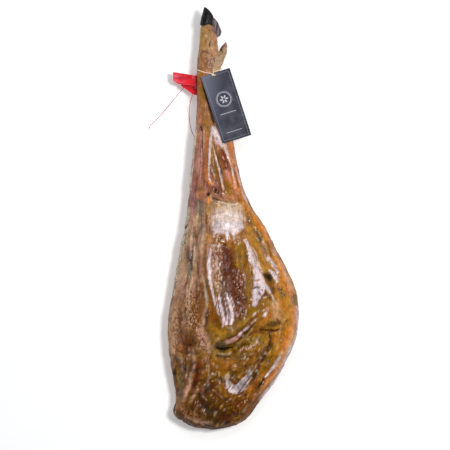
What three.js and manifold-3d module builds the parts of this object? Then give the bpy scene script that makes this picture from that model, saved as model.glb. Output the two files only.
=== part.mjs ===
// A whole cured ham with its trotter, lying on its skin side with the trimmed inner side up.
// A hang tag is tied to the ankle with twine, and a folded seal hangs there on a thin string.
// Millimetres, +Z up. The leg runs along Y with the hoof at +Y. The origin is at the middle of
// the ham's box in plan, on the surface that it lies on.
import * as THREE from "three";
import { mergeVertices } from "three/addons/utils/BufferGeometryUtils.js";
import Module from "manifold-3d";

const wasm = await Module();
wasm.setup();

// Driving dimensions
const GAP = 0.3; // left between pieces that touch
const AROUND = 42; // points round a section of the leg
const ALONG = 72; // sections along the leg
const TOP_SHARE = 0.62; // share of a section's points on its upper half
const TWINE_RADIUS = 1.1;
const KNOT_RADIUS = 2.4;
const STRING_RADIUS = 0.6;
const SEAL_THICKNESS = 0.9;
const CARD = {
  width: 60,
  length: 140,
  thickness: 0.9,
  centre: [-14.7, 223.7, 85.2],
  turn: 18, // degrees, anticlockwise from the line of the leg
  climb: 0.034, // how fast it rises towards its lower end
  roll: [0.05, 0.15], // how fast it falls towards its right side, at its upper and lower end
  bow: 2, // how far its ends bend down
  hole: { across: -3, along: 64.5, radius: 3 },
};

// Sections of the leg from the toes to the rump: the two ends of the widest line in plan,
// then the lowest and highest point. The first and the last are the poles of the form.
// A lowest point under 0 is cut off by the flat spot that the ham rests on.
const SECTIONS = [
  { left: [-53, 402], right: [-53, 402], low: 59, high: 59 }, // toe end, inside the claws
  { left: [-62, 396], right: [-44, 396], low: 49, high: 70 },
  { left: [-65, 386], right: [-39, 385], low: 42, high: 76 },
  { left: [-66.5, 370], right: [-34, 366], low: 39, high: 79 }, // pastern
  { left: [-69, 342], right: [-32.5, 342], low: 38, high: 79 }, // fetlock
  { left: [-72, 318], right: [-29, 316], low: 38, high: 79 },
  { left: [-73, 294], right: [-27, 292], low: 38, high: 77 }, // ankle, where the twine is tied
  { left: [-73, 262], right: [-21, 260], low: 37, high: 78 },
  { left: [-73.5, 226], right: [-14, 224], low: 35, high: 81 },
  { left: [-75, 194], right: [-7, 190], low: 33, high: 84 }, // hock
  { left: [-78, 160], right: [-1, 158], low: 31, high: 87 },
  { left: [-81.5, 126], right: [5, 124], low: 28, high: 89 }, // shank
  { left: [-86, 88], right: [13, 88], low: 24, high: 92 },
  { left: [-88.5, 52], right: [23, 52], low: 19, high: 96 }, // edge of the fat cap
  { left: [-92, 16], right: [40, 18], low: 13, high: 100 },
  { left: [-98, -22], right: [65, -20], low: 6, high: 106 },
  { left: [-107, -62], right: [86, -62], low: 0, high: 112 },
  { left: [-115, -106], right: [110, -106], low: -4, high: 118 },
  { left: [-123, -150], right: [126.5, -150], low: -6, high: 122 },
  { left: [-130.5, -198], right: [130.5, -198], low: -6, high: 123 }, // widest
  { left: [-130.5, -244], right: [124, -244], low: -6, high: 120 },
  { left: [-126.5, -288], right: [103, -290], low: -5, high: 115 },
  { left: [-118.5, -330], right: [79, -332], low: -3, high: 108 },
  { left: [-115.5, -364], right: [53, -366], low: 3, high: 99 },
  { left: [-121.5, -388], right: [36, -390], low: 11, high: 90 }, // hip corner
  { left: [-104, -406], right: [18, -407], low: 20, high: 79 },
  { left: [-79, -417], right: [-7, -417], low: 31, high: 67 },
  { left: [-46, -423], right: [-46, -423], low: 50, high: 50 }, // rump end
];

// Ridges, creases and hollows on the upper side: each follows a path in plan, with the height at
// its middle line and its half width on the left and on the right of the path's direction.
const RELIEF = [
  {
    name: "fat cap lip",
    path: [[30, 31], [13, 37], [-6, 35], [-26, 37], [-42, 40], [-58, 46]],
    height: 5,
    widths: [22, 5],
  },
  {
    name: "shin tendon",
    path: [[-40, 178], [-46, 152], [-48, 112], [-47, 72]],
    height: 3.5,
    widths: [6, 6],
  },
  {
    name: "middle tendon",
    path: [[-40, 148], [-34, 122], [-29, 91], [-21, 62]],
    height: 3,
    widths: [5, 5],
  },
  {
    name: "heel tendon",
    path: [[-34, 172], [-21, 144], [-9, 118], [0, 88], [9, 60], [26, 33]],
    height: 4.5,
    widths: [7, 7],
  },
  {
    name: "shank hollow",
    path: [[-21, 128], [-14, 104], [-9, 70]],
    height: -4.5,
    widths: [8, 8],
  },
  {
    name: "shin groove",
    path: [[-62, 150], [-62, 110], [-63, 66]],
    height: -3,
    widths: [6, 6],
  },
  {
    name: "inner roll",
    path: [[-52, -50], [-50, -86], [-47, -132], [-38, -174], [-26, -206]],
    height: 4.5,
    widths: [8, 9],
  },
  {
    name: "outer roll",
    path: [[22, -30], [31, -70], [36, -110], [35, -150], [30, -178]],
    height: 4.5,
    widths: [9, 9],
  },
  {
    name: "middle valley",
    path: [[-4, -62], [-6, -110], [-2, -160], [0, -200]],
    height: -5,
    widths: [17, 17],
  },
  {
    name: "rind valley",
    path: [[37, -2], [55, -48], [71, -90], [80, -134]],
    height: -4,
    widths: [9, 9],
  },
  {
    name: "rind roll",
    path: [[46, 6], [74, -48], [99, -108], [112, -170], [111, -226], [92, -270]],
    height: 4,
    widths: [11, 11],
  },
  {
    name: "fold lip",
    path: [[50, -197], [34, -212], [17, -227], [-4, -243], [-34, -255]],
    height: 8,
    widths: [12, 6],
  },
  {
    name: "fold crease",
    path: [[42, -228], [20, -244], [-6, -262], [-36, -264]],
    height: -6,
    widths: [6, 7],
  },
  {
    name: "haunch bulge",
    path: [[52, -250], [22, -276], [0, -300]],
    height: 9,
    widths: [24, 24],
  },
  {
    name: "haunch crease",
    path: [[58, -219], [75, -228], [74, -250], [57, -280], [38, -316], [16, -348]],
    height: -7,
    widths: [6, 7],
  },
  {
    name: "hip hollow",
    path: [[-46, -340], [-52, -366]],
    height: -10,
    widths: [24, 24],
  },
  {
    name: "stifle ridge",
    path: [[-74, -262], [-80, -290], [-95, -326], [-106, -364]],
    height: 6,
    widths: [9, 8],
  },
  {
    name: "stifle groove",
    path: [[-100, -256], [-110, -300], [-118, -334]],
    height: -5,
    widths: [8, 8],
  },
  {
    name: "flank strand",
    path: [[-84, 20], [-88, -40], [-94, -110], [-98, -180], [-96, -240]],
    height: 3,
    widths: [7, 7],
  },
  {
    name: "flank groove",
    path: [[-74, 10], [-76, -50], [-80, -110], [-78, -180]],
    height: -3.5,
    widths: [7, 7],
  },
];

// The heel pads below the dewclaws: where along Y each starts, is fullest and ends, how far it
// stands out to the right there, and the height and half thickness that it has.
const PADS = [
  { start: 342, full: 322, end: 290, reach: 12, height: 66, spread: 11 },
  { start: 340, full: 320, end: 290, reach: 9, height: 46, spread: 9 },
];

// Toes and horn as lofts along Y: each row is a round section between its left and right edge and
// its lowest and highest point. A first or last row of no width is a pole.
const TOES = [
  [
    { y: 308, left: -44, right: -30, low: 57, high: 73 },
    { y: 318, left: -37, right: -19, low: 56, high: 76 },
    { y: 330, left: -29, right: -13.4, low: 57, high: 75.5 },
    { y: 340, left: -23.6, right: -12.8, low: 60, high: 74 },
    { y: 345.5, left: -21.6, right: -13.8, low: 62.5, high: 71.5 },
  ],
  [
    { y: 308, left: -46, right: -33, low: 40, high: 53 },
    { y: 318, left: -40, right: -23, low: 38, high: 55 },
    { y: 330, left: -33, right: -18.4, low: 39, high: 54 },
    { y: 339, left: -27.6, right: -17.6, low: 41, high: 52.5 },
    { y: 344, left: -25.6, right: -18.6, low: 43, high: 50.5 },
  ],
];
const HORN = {
  claw_near: [
    { y: 385, left: -66.5, right: -41, low: 59, high: 79 },
    { y: 394, left: -65.8, right: -39.6, low: 59, high: 80 },
    { y: 404, left: -63.7, right: -40.4, low: 59.5, high: 79 },
    { y: 412, left: -61.6, right: -45.2, low: 61, high: 76 },
    { y: 419, left: -59.6, right: -52, low: 63.5, high: 73 },
    { y: 423, left: -57.5, right: -57.5, low: 68, high: 68 },
  ],
  claw_far: [
    { y: 362, left: -46, right: -32, low: 42, high: 56 },
    { y: 367, left: -47, right: -27.5, low: 40, high: 58 },
    { y: 376, left: -48, right: -24, low: 39, high: 58.4 },
    { y: 386, left: -49, right: -27.5, low: 39, high: 58.4 },
    { y: 396, left: -50, right: -32, low: 41, high: 57.5 },
    { y: 403, left: -49, right: -38.5, low: 44, high: 55 },
    { y: 407, left: -44, right: -44, low: 50, high: 50 },
  ],
  dewclaw_near: [
    { y: 341, left: -24, right: -12, low: 59.2, high: 74.8 },
    { y: 345, left: -22.6, right: -12.6, low: 61, high: 73 },
    { y: 349, left: -19, right: -13.6, low: 64, high: 70.5 },
    { y: 352, left: -15.4, right: -15.4, low: 68, high: 68 },
  ],
  dewclaw_far: [
    { y: 340, left: -28, right: -17, low: 40.4, high: 53 },
    { y: 344, left: -26.6, right: -17.8, low: 42, high: 51.6 },
    { y: 347.5, left: -23.5, right: -18.6, low: 44, high: 49.5 },
    { y: 350, left: -20, right: -20, low: 47, high: 47 },
  ],
};
const HORN_SIDES = 14;
const TOE_SIDES = 16;

// The folded seal is a band between two edge lines, from the free end of its upper leaf, round
// the fold that tucks under the ankle, to the free end of its lower leaf.
const SEAL_EDGES = {
  upper: [
    [-121.8, 295.4, 46], [-112, 294.2, 46.6], [-97, 291.8, 47], [-82, 289.4, 47], [-71.5, 287.6, 46],
    [-68.4, 287, 43], [-71.5, 286.5, 39.6], [-84, 286, 38.4], [-98, 287, 37.4], [-107, 288.5, 36.6],
  ],
  lower: [
    [-121.2, 278.2, 44], [-111.5, 271.8, 44.6], [-95, 270, 45.6], [-82.2, 268.2, 46.4],
    [-72.4, 260, 46.6], [-68.2, 253.6, 43.6], [-70.6, 249.8, 40], [-80, 250.6, 38.4],
    [-92, 258.8, 37.4], [-105.5, 268.2, 36.4],
  ],
};

// The twine's way round the hole's upper rim, from below the card to past its upper edge: across
// and along the card from the hole, and above its middle.
const TWINE_THROUGH_HOLE = [
  [2.2, 1.6, -2.4], [0.9, 0.5, -1.7], [0, 0, 0], [-0.8, 0.6, 1.8], [-3, 2.8, 2.9], [-6, 6, 2.2],
];

// The seal's string leaves the ankle at its left, runs through the fold and goes back under it.
const STRING_IN_FOLD = [
  [-70.5, 291.5, 43.4], [-76, 290, 42.8], [-79, 284, 42.6], [-79.4, 275, 42.4], [-79, 267.5, 43],
  [-78.6, 262.4, 45.4], [-76.8, 261.4, 50.4],
];

// The two loose ends of the seal's string, from between its leaves down to the surface.
const LOOSE_ENDS = {
  seal_string_long: [
    [-96, 270, 41.4], [-100.5, 264.5, 41], [-105, 259, 38.6], [-110.5, 253.6, 34],
    [-116.4, 247.6, 27.4], [-122.4, 241.2, 19.4], [-128.6, 234.4, 11.4], [-135, 227.4, 5],
    [-142, 219.8, 1.8], [-149.4, 211.8, 0.9], [-157, 203.8, 0.8], [-163.6, 197.2, 0.8],
    [-168.6, 192.6, 0.8], [-171.4, 188.6, 0.8], [-172.4, 184, 0.8],
  ],
  seal_string_short: [
    [-80.6, 258, 42], [-81.8, 252.4, 42.4], [-83.4, 247, 41], [-85.4, 241, 36.4], [-87.4, 234.6, 29.6],
    [-88.8, 227.6, 21.4], [-89.6, 220, 13], [-90, 211.6, 6], [-89.6, 202.6, 2], [-88.4, 193.2, 0.9],
    [-86, 183.4, 0.8], [-82.4, 173.4, 0.8], [-78, 163.8, 0.8], [-73.4, 155, 0.8], [-69, 147.4, 0.8],
    [-65, 139.6, 0.8],
  ],
};

// The value at parameter t of a smooth line through numbers, one unit of t from each to the next.
function splineAt(values, t) {
  const last = values.length - 1;
  const i = Math.min(Math.floor(t), last - 1);
  const f = t - i;
  const b = values[i];
  const c = values[i + 1];
  const a = i > 0 ? values[i - 1] : 2 * b - c;
  const d = i + 2 <= last ? values[i + 2] : 2 * c - b;
  const square = 2 * a - 5 * b + 4 * c - d;
  const cube = 3 * b - a - 3 * c + d;
  return 0.5 * (2 * b + (c - a) * f + square * f ** 2 + cube * f ** 3);
}

// The point at parameter t of a smooth line through points.
function pointAt(points, t) {
  return points[0].map((_, axis) => splineAt(points.map((p) => p[axis]), t));
}

function smoothstep(low, high, x) {
  const t = Math.min(Math.max((x - low) / (high - low), 0), 1);
  return t * t * (3 - 2 * t);
}

// A path in plan as a fine row of points on a smooth curve.
function finePath(path, steps = 5) {
  const count = (path.length - 1) * steps;
  return Array.from({ length: count + 1 }, (_, i) => pointAt(path, i / steps));
}

// Distance from a point to a fine path, and the side that it lies on: 1 left of the path, -1
// right of it, and between the two off the ends.
function placeBeside(points, x, y) {
  let distance = Infinity;
  let side = 0;
  for (let i = 0; i < points.length - 1; i++) {
    const [ax, ay] = points[i];
    const dx = points[i + 1][0] - ax;
    const dy = points[i + 1][1] - ay;
    const length = Math.hypot(dx, dy);
    const t = Math.min(Math.max(((x - ax) * dx + (y - ay) * dy) / length ** 2, 0), 1);
    const ox = x - ax - t * dx;
    const oy = y - ay - t * dy;
    const d = Math.hypot(ox, oy);
    if (d < distance) {
      distance = d;
      side = d > 0 ? (dx * oy - dy * ox) / (length * d) : 0;
    }
  }
  return [distance, side];
}

const reliefPaths = RELIEF.map((form) => finePath(form.path));

// Height that the forms on the upper side add at a place in plan: each is a bell curve of the
// distance to its path.
function reliefAt(x, y) {
  return RELIEF.reduce((sum, form, i) => {
    const [distance, side] = placeBeside(reliefPaths[i], x, y);
    const [left, right] = form.widths;
    const width = (left + right) / 2 + (side * (left - right)) / 2;
    return sum + form.height * Math.exp(-((distance / width) ** 2));
  }, 0);
}

// How far the heel pads push the right side of the trotter out, at a height and a place along it.
function padReach(y, z) {
  return PADS.reduce((sum, pad) => {
    const along = smoothstep(pad.end, pad.full, y) * smoothstep(pad.start, pad.full, y);
    return sum + pad.reach * along * Math.exp(-(((z - pad.height) / pad.spread) ** 2));
  }, 0);
}

// One point of the leg's surface: t runs along the sections, and the angle round one of them from
// the right-hand end of its widest line over the top. Each half of a section is half an ellipse, and
// squarer below where the leg is fleshy. grow puts the point outside the surface.
function legPoint(t, angle, grow) {
  const along = (pick) => splineAt(SECTIONS.map(pick), t);
  const left = [along((s) => s.left[0]), along((s) => s.left[1])];
  const right = [along((s) => s.right[0]), along((s) => s.right[1])];
  const low = along((s) => s.low) - grow;
  const high = along((s) => s.high) + grow;
  const fleshy = smoothstep(14, 19, t);
  const middle = low + (high - low) * (0.5 - 0.06 * fleshy);
  const up = Math.sin(angle) >= 0;
  const power = 2 / (up ? 2 : 2 + 0.2 * fleshy);
  const across = Math.sign(Math.cos(angle)) * Math.abs(Math.cos(angle)) ** power;
  const rise = Math.sign(Math.sin(angle)) * Math.abs(Math.sin(angle)) ** power;
  const halfWidth = Math.hypot(right[0] - left[0], right[1] - left[1]) / 2;
  const stretch = halfWidth > 0 ? (halfWidth + grow) / halfWidth : 1;
  let x = (left[0] + right[0]) / 2 + ((right[0] - left[0]) / 2) * across * stretch;
  const y = (left[1] + right[1]) / 2 + ((right[1] - left[1]) / 2) * across;
  const endRoom = (grow * y) / SECTIONS[0].left[1];
  let z = middle + (up ? high - middle : middle - low) * rise;
  x += padReach(y, z) * smoothstep(0.1, 0.8, Math.cos(angle));
  z += reliefAt(x, y) * smoothstep(0.12, 0.5, Math.sin(angle));
  return [x, y + endRoom, z];
}

// The point outside the leg's surface at an angle round it and a place along it.
function besideLeg(angle, y, clearance) {
  let near = 0;
  let far = SECTIONS.length - 1;
  for (let step = 0; step < 30; step++) {
    const t = (near + far) / 2;
    if (legPoint(t, angle, clearance)[1] > y) near = t;
    else far = t;
  }
  return legPoint(near, angle, clearance);
}

// A closed mesh from a first pole, rings of equal size and a last pole.
function ringsToGeometry(first, rings, last) {
  const size = rings[0].length;
  const positions = [first, ...rings.flat(), last].flat();
  const end = positions.length / 3 - 1;
  const at = (ring, k) => 1 + ring * size + (k % size);
  const faces = [];
  for (let k = 0; k < size; k++) {
    faces.push(0, at(0, k), at(0, k + 1));
    faces.push(end, at(rings.length - 1, k + 1), at(rings.length - 1, k));
    for (let r = 0; r < rings.length - 1; r++) {
      faces.push(at(r, k), at(r + 1, k), at(r + 1, k + 1));
      faces.push(at(r, k), at(r + 1, k + 1), at(r, k + 1));
    }
  }
  return geometryFrom(positions, faces);
}

function geometryFrom(positions, faces) {
  const geometry = new THREE.BufferGeometry();
  geometry.setAttribute("position", new THREE.Float32BufferAttribute(positions, 3));
  geometry.setIndex(faces);
  return geometry;
}

// A thin sheet as a closed mesh: surface(u, v) is its middle, for u and v from 0 to 1, and its two
// faces lie half a thickness to each side.
function sheetGeometry(surface, columns, rows, thickness) {
  const small = 1e-3;
  const side = (sign) =>
    Array.from({ length: (columns + 1) * (rows + 1) }, (_, i) => {
      const u = (i % (columns + 1)) / columns;
      const v = Math.floor(i / (columns + 1)) / rows;
      const point = new THREE.Vector3(...surface(u, v));
      const alongU = new THREE.Vector3(...surface(u + small, v));
      alongU.sub(new THREE.Vector3(...surface(u - small, v)));
      const alongV = new THREE.Vector3(...surface(u, v + small));
      alongV.sub(new THREE.Vector3(...surface(u, v - small)));
      return point.addScaledVector(alongU.cross(alongV).normalize(), (sign * thickness) / 2).toArray();
    });
  const positions = [...side(1), ...side(-1)].flat();
  const under = (columns + 1) * (rows + 1);
  const at = (c, r) => r * (columns + 1) + c;
  const faces = [];
  const addQuad = (a, b, c, d) => faces.push(a, b, c, a, c, d);
  for (let r = 0; r < rows; r++) {
    for (let c = 0; c < columns; c++) {
      addQuad(at(c, r), at(c + 1, r), at(c + 1, r + 1), at(c, r + 1));
      addQuad(under + at(c, r), under + at(c, r + 1), under + at(c + 1, r + 1), under + at(c + 1, r));
    }
    addQuad(at(0, r), at(0, r + 1), under + at(0, r + 1), under + at(0, r));
    addQuad(at(columns, r + 1), at(columns, r), under + at(columns, r), under + at(columns, r + 1));
  }
  for (let c = 0; c < columns; c++) {
    addQuad(at(c + 1, 0), at(c, 0), under + at(c, 0), under + at(c + 1, 0));
    addQuad(at(c, rows), at(c + 1, rows), under + at(c + 1, rows), under + at(c, rows));
  }
  return geometryFrom(positions, faces);
}

// A closed three.js geometry as a solid for joining and cutting, turned to face out.
function solidOf(geometry) {
  const bare = geometry.clone();
  bare.deleteAttribute("normal");
  bare.deleteAttribute("uv");
  const merged = mergeVertices(bare, 1e-4);
  const vertProperties = new Float32Array(merged.attributes.position.array);
  const triVerts = new Uint32Array(merged.index.array);
  const make = () => new wasm.Manifold(new wasm.Mesh({ numProp: 3, vertProperties, triVerts }));
  const solid = make();
  if (solid.volume() > 0) return solid;
  for (let i = 0; i < triVerts.length; i += 3) {
    [triVerts[i + 1], triVerts[i + 2]] = [triVerts[i + 2], triVerts[i + 1]];
  }
  return make();
}

// A solid back as a three.js geometry.
function geometryOf(solid) {
  const mesh = solid.getMesh();
  const positions = [];
  for (let i = 0; i < mesh.numVert; i++) {
    positions.push(...mesh.vertProperties.subarray(i * mesh.numProp, i * mesh.numProp + 3));
  }
  const geometry = geometryFrom(positions, Array.from(mesh.triVerts));
  geometry.computeVertexNormals();
  return geometry;
}

// A loft along Y through rows of round sections, with room round it on all sides.
function loftSolid(rows, sides, room = 0, steps = 2) {
  const keys = ["y", "left", "right", "low", "high"];
  const last = rows.length - 1;
  const rowAt = (t) => keys.map((key) => splineAt(rows.map((row) => row[key]), t));
  const centre = (t, shift) => {
    const [y, left, right, low, high] = rowAt(t);
    return [(left + right) / 2, y + shift, (low + high) / 2];
  };
  const section = (t) => {
    const [y, left, right, low, high] = rowAt(t);
    return Array.from({ length: sides }, (_, k) => {
      const angle = (2 * Math.PI * k) / sides;
      const across = ((right - left) / 2 + room) * Math.cos(angle);
      const rise = ((high - low) / 2 + room) * Math.sin(angle);
      return [(left + right) / 2 + across, y + room * ((2 * t) / last - 1), (low + high) / 2 + rise];
    });
  };
  const pointed = rows[last].left === rows[last].right;
  const count = last * steps + (pointed ? 0 : 1);
  const rings = Array.from({ length: count }, (_, i) => section(i / steps));
  return solidOf(ringsToGeometry(centre(0, -room), rings, centre(last, pointed ? 0 : 1 + room)));
}

// The whole leg as a solid, with room round it on all sides, and flat where it rests.
function legSolid(room) {
  const last = SECTIONS.length - 1;
  const topPoints = Math.round(AROUND * TOP_SHARE);
  const angles = Array.from({ length: AROUND }, (_, k) =>
    k < topPoints ? (Math.PI * k) / topPoints : Math.PI * (1 + (k - topPoints) / (AROUND - topPoints)),
  );
  const rings = Array.from({ length: ALONG }, (_, i) => {
    const t = (last * (i + 1)) / (ALONG + 1);
    return angles.map((angle) => legPoint(t, angle, room));
  });
  const pole = (section) => [...section.left, section.low];
  const form = solidOf(ringsToGeometry(pole(SECTIONS[0]), rings, pole(SECTIONS[last])));
  const ground = new THREE.BoxGeometry(400, 1000, 40);
  ground.translate(0, 0, -20 - room);
  const toes = TOES.map((rows) => loftSolid(rows, TOE_SIDES, room));
  return toes.reduce((leg, toe) => leg.add(toe), form).subtract(solidOf(ground));
}

// A point of the card's middle surface, in its own directions across and along from its centre.
function cardPoint(across, along) {
  const turn = THREE.MathUtils.degToRad(CARD.turn);
  const end = along / CARD.length;
  const roll = CARD.roll[1] + (CARD.roll[0] - CARD.roll[1]) * (end + 0.5);
  const drop = CARD.climb * along + roll * across + CARD.bow * (2 * end) ** 2;
  return [
    CARD.centre[0] + across * Math.cos(turn) - along * Math.sin(turn),
    CARD.centre[1] + across * Math.sin(turn) + along * Math.cos(turn),
    CARD.centre[2] - drop,
  ];
}

function cardSolid() {
  const surface = (u, v) => cardPoint((u - 0.5) * CARD.width, (v - 0.5) * CARD.length);
  const { across, along, radius } = CARD.hole;
  const hole = new THREE.CylinderGeometry(radius, radius, 20, 16);
  hole.rotateX(Math.PI / 2);
  hole.translate(...cardPoint(across, along));
  return solidOf(sheetGeometry(surface, 4, 14, CARD.thickness)).subtract(solidOf(hole));
}

function sealSolid() {
  const last = SEAL_EDGES.upper.length - 1;
  const surface = (u, v) => {
    const t = Math.min(Math.max(v, 0), 1) * last;
    const upper = pointAt(SEAL_EDGES.upper, t);
    const lower = pointAt(SEAL_EDGES.lower, t);
    return upper.map((value, axis) => value + (lower[axis] - value) * u);
  };
  return solidOf(sheetGeometry(surface, 5, 27, SEAL_THICKNESS));
}

// A closed loop of round section through points.
function loopSolid(points, radius, steps, sides) {
  const curve = new THREE.CatmullRomCurve3(points.map((p) => new THREE.Vector3(...p)), true);
  return solidOf(new THREE.TubeGeometry(curve, steps, radius, sides, true));
}

// An open cord of round section through points, closed at its ends.
function cordGeometry(points, radius, steps, sides) {
  const curve = new THREE.CatmullRomCurve3(points.map((p) => new THREE.Vector3(...p)));
  const section = new THREE.Shape(
    Array.from({ length: sides }, (_, k) => {
      const angle = (2 * Math.PI * k) / sides;
      return new THREE.Vector2(radius * Math.cos(angle), radius * Math.sin(angle));
    }),
  );
  return new THREE.ExtrudeGeometry(section, { steps, extrudePath: curve, curveSegments: 1 });
}

// The twine goes round the ankle above the pads, over the card's upper edge, through its hole and
// back below the card.
function twinePath() {
  const degrees = [112, 132, 155, 180, 205, 235, 270, 305, 335, 360, 385, 408, 428];
  const places = [291.4, 294.6, 297.4, 299.4, 300.4, 301, 301.4, 301.4, 301, 300, 297.8, 294.6, 291.6];
  const round = degrees.map((degree, i) =>
    besideLeg(THREE.MathUtils.degToRad(degree), places[i], TWINE_RADIUS + 2 * GAP),
  );
  const throughHole = TWINE_THROUGH_HOLE.map(([across, along, above]) => {
    const [x, y, z] = cardPoint(CARD.hole.across + across, CARD.hole.along + along);
    return [x, y, z + above];
  });
  return [...throughHole, ...round];
}

function twineSolid() {
  const path = twinePath();
  const knot = new THREE.SphereGeometry(KNOT_RADIUS, 10, 7);
  knot.scale(1.25, 0.9, 0.75);
  knot.translate(...path[4]);
  return loopSolid(path, TWINE_RADIUS, 72, 7).add(solidOf(knot));
}

// The seal's string climbs over the ankle from its left side, passes below the card, and goes
// down the right side and back underneath to the fold.
function stringLoopSolid() {
  const degrees = [165, 140, 115, 90, 60, 30, 0, -35, -70, -105, -130];
  const places = [264, 269, 275, 280.5, 284, 286.5, 288.5, 290, 291, 291.6, 291.8];
  const round = degrees.map((degree, i) =>
    besideLeg(THREE.MathUtils.degToRad(degree), places[i], STRING_RADIUS + 2 * GAP),
  );
  return loopSolid([...round, ...STRING_IN_FOLD], STRING_RADIUS, 72, 6);
}

const group = new THREE.Group();

function addPiece(name, geometry, material) {
  const mesh = new THREE.Mesh(geometry, material);
  mesh.name = name;
  group.add(mesh);
}

const cured = new THREE.MeshStandardMaterial({ color: 0x9a6a3c, roughness: 0.35, metalness: 0 });
const blackHorn = new THREE.MeshStandardMaterial({ color: 0x1c1817, roughness: 0.45, metalness: 0 });
const greyHorn = new THREE.MeshStandardMaterial({ color: 0x7b6b67, roughness: 0.5, metalness: 0 });
const cotton = new THREE.MeshStandardMaterial({ color: 0xe6d3a8, roughness: 0.9, metalness: 0 });
const board = new THREE.MeshStandardMaterial({ color: 0x3f3f4b, roughness: 0.45, metalness: 0 });
const redPlastic = new THREE.MeshStandardMaterial({ color: 0xd8203a, roughness: 0.3, metalness: 0 });
const redThread = new THREE.MeshStandardMaterial({ color: 0xc84a5a, roughness: 0.8, metalness: 0 });

const legWithRoom = legSolid(GAP);
addPiece("ham", geometryOf(legSolid(0)), cured);
for (const [name, rows] of Object.entries(HORN)) {
  const horn = loftSolid(rows, HORN_SIDES).subtract(legWithRoom);
  addPiece(name, geometryOf(horn), name === "claw_near" ? blackHorn : greyHorn);
}
addPiece("tag", geometryOf(cardSolid()), board);
addPiece("twine", geometryOf(twineSolid().subtract(legWithRoom)), cotton);
addPiece("seal", geometryOf(sealSolid().subtract(legWithRoom)), redPlastic);
addPiece("string_loop", geometryOf(stringLoopSolid().subtract(legWithRoom)), redThread);
for (const [name, points] of Object.entries(LOOSE_ENDS)) {
  addPiece(name, cordGeometry(points, STRING_RADIUS, 38, 8), redThread);
}

export default group;
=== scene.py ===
"""A whole cured ham lying on its skin side, with the tag, twine, seal and strings at its ankle."""
import math

import bpy
import numpy as np
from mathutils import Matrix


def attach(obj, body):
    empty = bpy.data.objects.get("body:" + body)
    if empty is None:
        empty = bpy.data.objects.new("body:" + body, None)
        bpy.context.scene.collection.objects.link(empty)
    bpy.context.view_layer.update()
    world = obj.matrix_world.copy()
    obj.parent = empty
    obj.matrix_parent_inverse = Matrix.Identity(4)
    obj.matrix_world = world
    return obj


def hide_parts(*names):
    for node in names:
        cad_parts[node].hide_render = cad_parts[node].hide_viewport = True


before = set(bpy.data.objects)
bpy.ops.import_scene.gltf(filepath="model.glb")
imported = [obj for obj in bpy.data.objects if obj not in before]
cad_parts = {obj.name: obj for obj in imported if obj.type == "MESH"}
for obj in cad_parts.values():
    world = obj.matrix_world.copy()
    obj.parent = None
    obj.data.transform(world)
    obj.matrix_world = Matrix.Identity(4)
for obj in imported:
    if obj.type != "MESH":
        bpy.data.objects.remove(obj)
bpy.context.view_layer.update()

MM = 0.001  # lengths below are in millimetres, and meshes in metres

# The photograph is taken from straight above: its middle, the height of the eye, and the level of
# the ham's rim, where it shows 900 mm from side to side.
EYE = (-17.0, -12.0)
EYE_HEIGHT = 2558.0
RIM_LEVEL = 58.0
LENS = 100.0
SENSOR = 36.0

# Sections of the leg from the toes to the rump: left x, left y, right x, right y, low, high.
SECTIONS = np.array([
    (-53, 402, -53, 402, 59, 59),
    (-62, 396, -44, 396, 49, 70),
    (-65, 386, -39, 385, 42, 76),
    (-66.5, 370, -34, 366, 39, 79),
    (-69, 342, -32.5, 342, 38, 79),
    (-72, 318, -29, 316, 38, 79),
    (-73, 294, -27, 292, 38, 77),
    (-73, 262, -21, 260, 37, 78),
    (-73.5, 226, -14, 224, 35, 81),
    (-75, 194, -7, 190, 33, 84),
    (-78, 160, -1, 158, 31, 87),
    (-81.5, 126, 5, 124, 28, 89),
    (-86, 88, 13, 88, 24, 92),
    (-88.5, 52, 23, 52, 19, 96),
    (-92, 16, 40, 18, 13, 100),
    (-98, -22, 65, -20, 6, 106),
    (-107, -62, 86, -62, 0, 112),
    (-115, -106, 110, -106, -4, 118),
    (-123, -150, 126.5, -150, -6, 122),
    (-130.5, -198, 130.5, -198, -6, 123),
    (-130.5, -244, 124, -244, -6, 120),
    (-126.5, -288, 103, -290, -5, 115),
    (-118.5, -330, 79, -332, -3, 108),
    (-115.5, -364, 53, -366, 3, 99),
    (-121.5, -388, 36, -390, 11, 90),
    (-104, -406, 18, -407, 20, 79),
    (-79, -417, -7, -417, 31, 67),
    (-46, -423, -46, -423, 50, 50),
], dtype=float)
LAST = len(SECTIONS) - 1
FLESHY = (14, 19)  # from the first of these sections to the second the underside grows squarer

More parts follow.
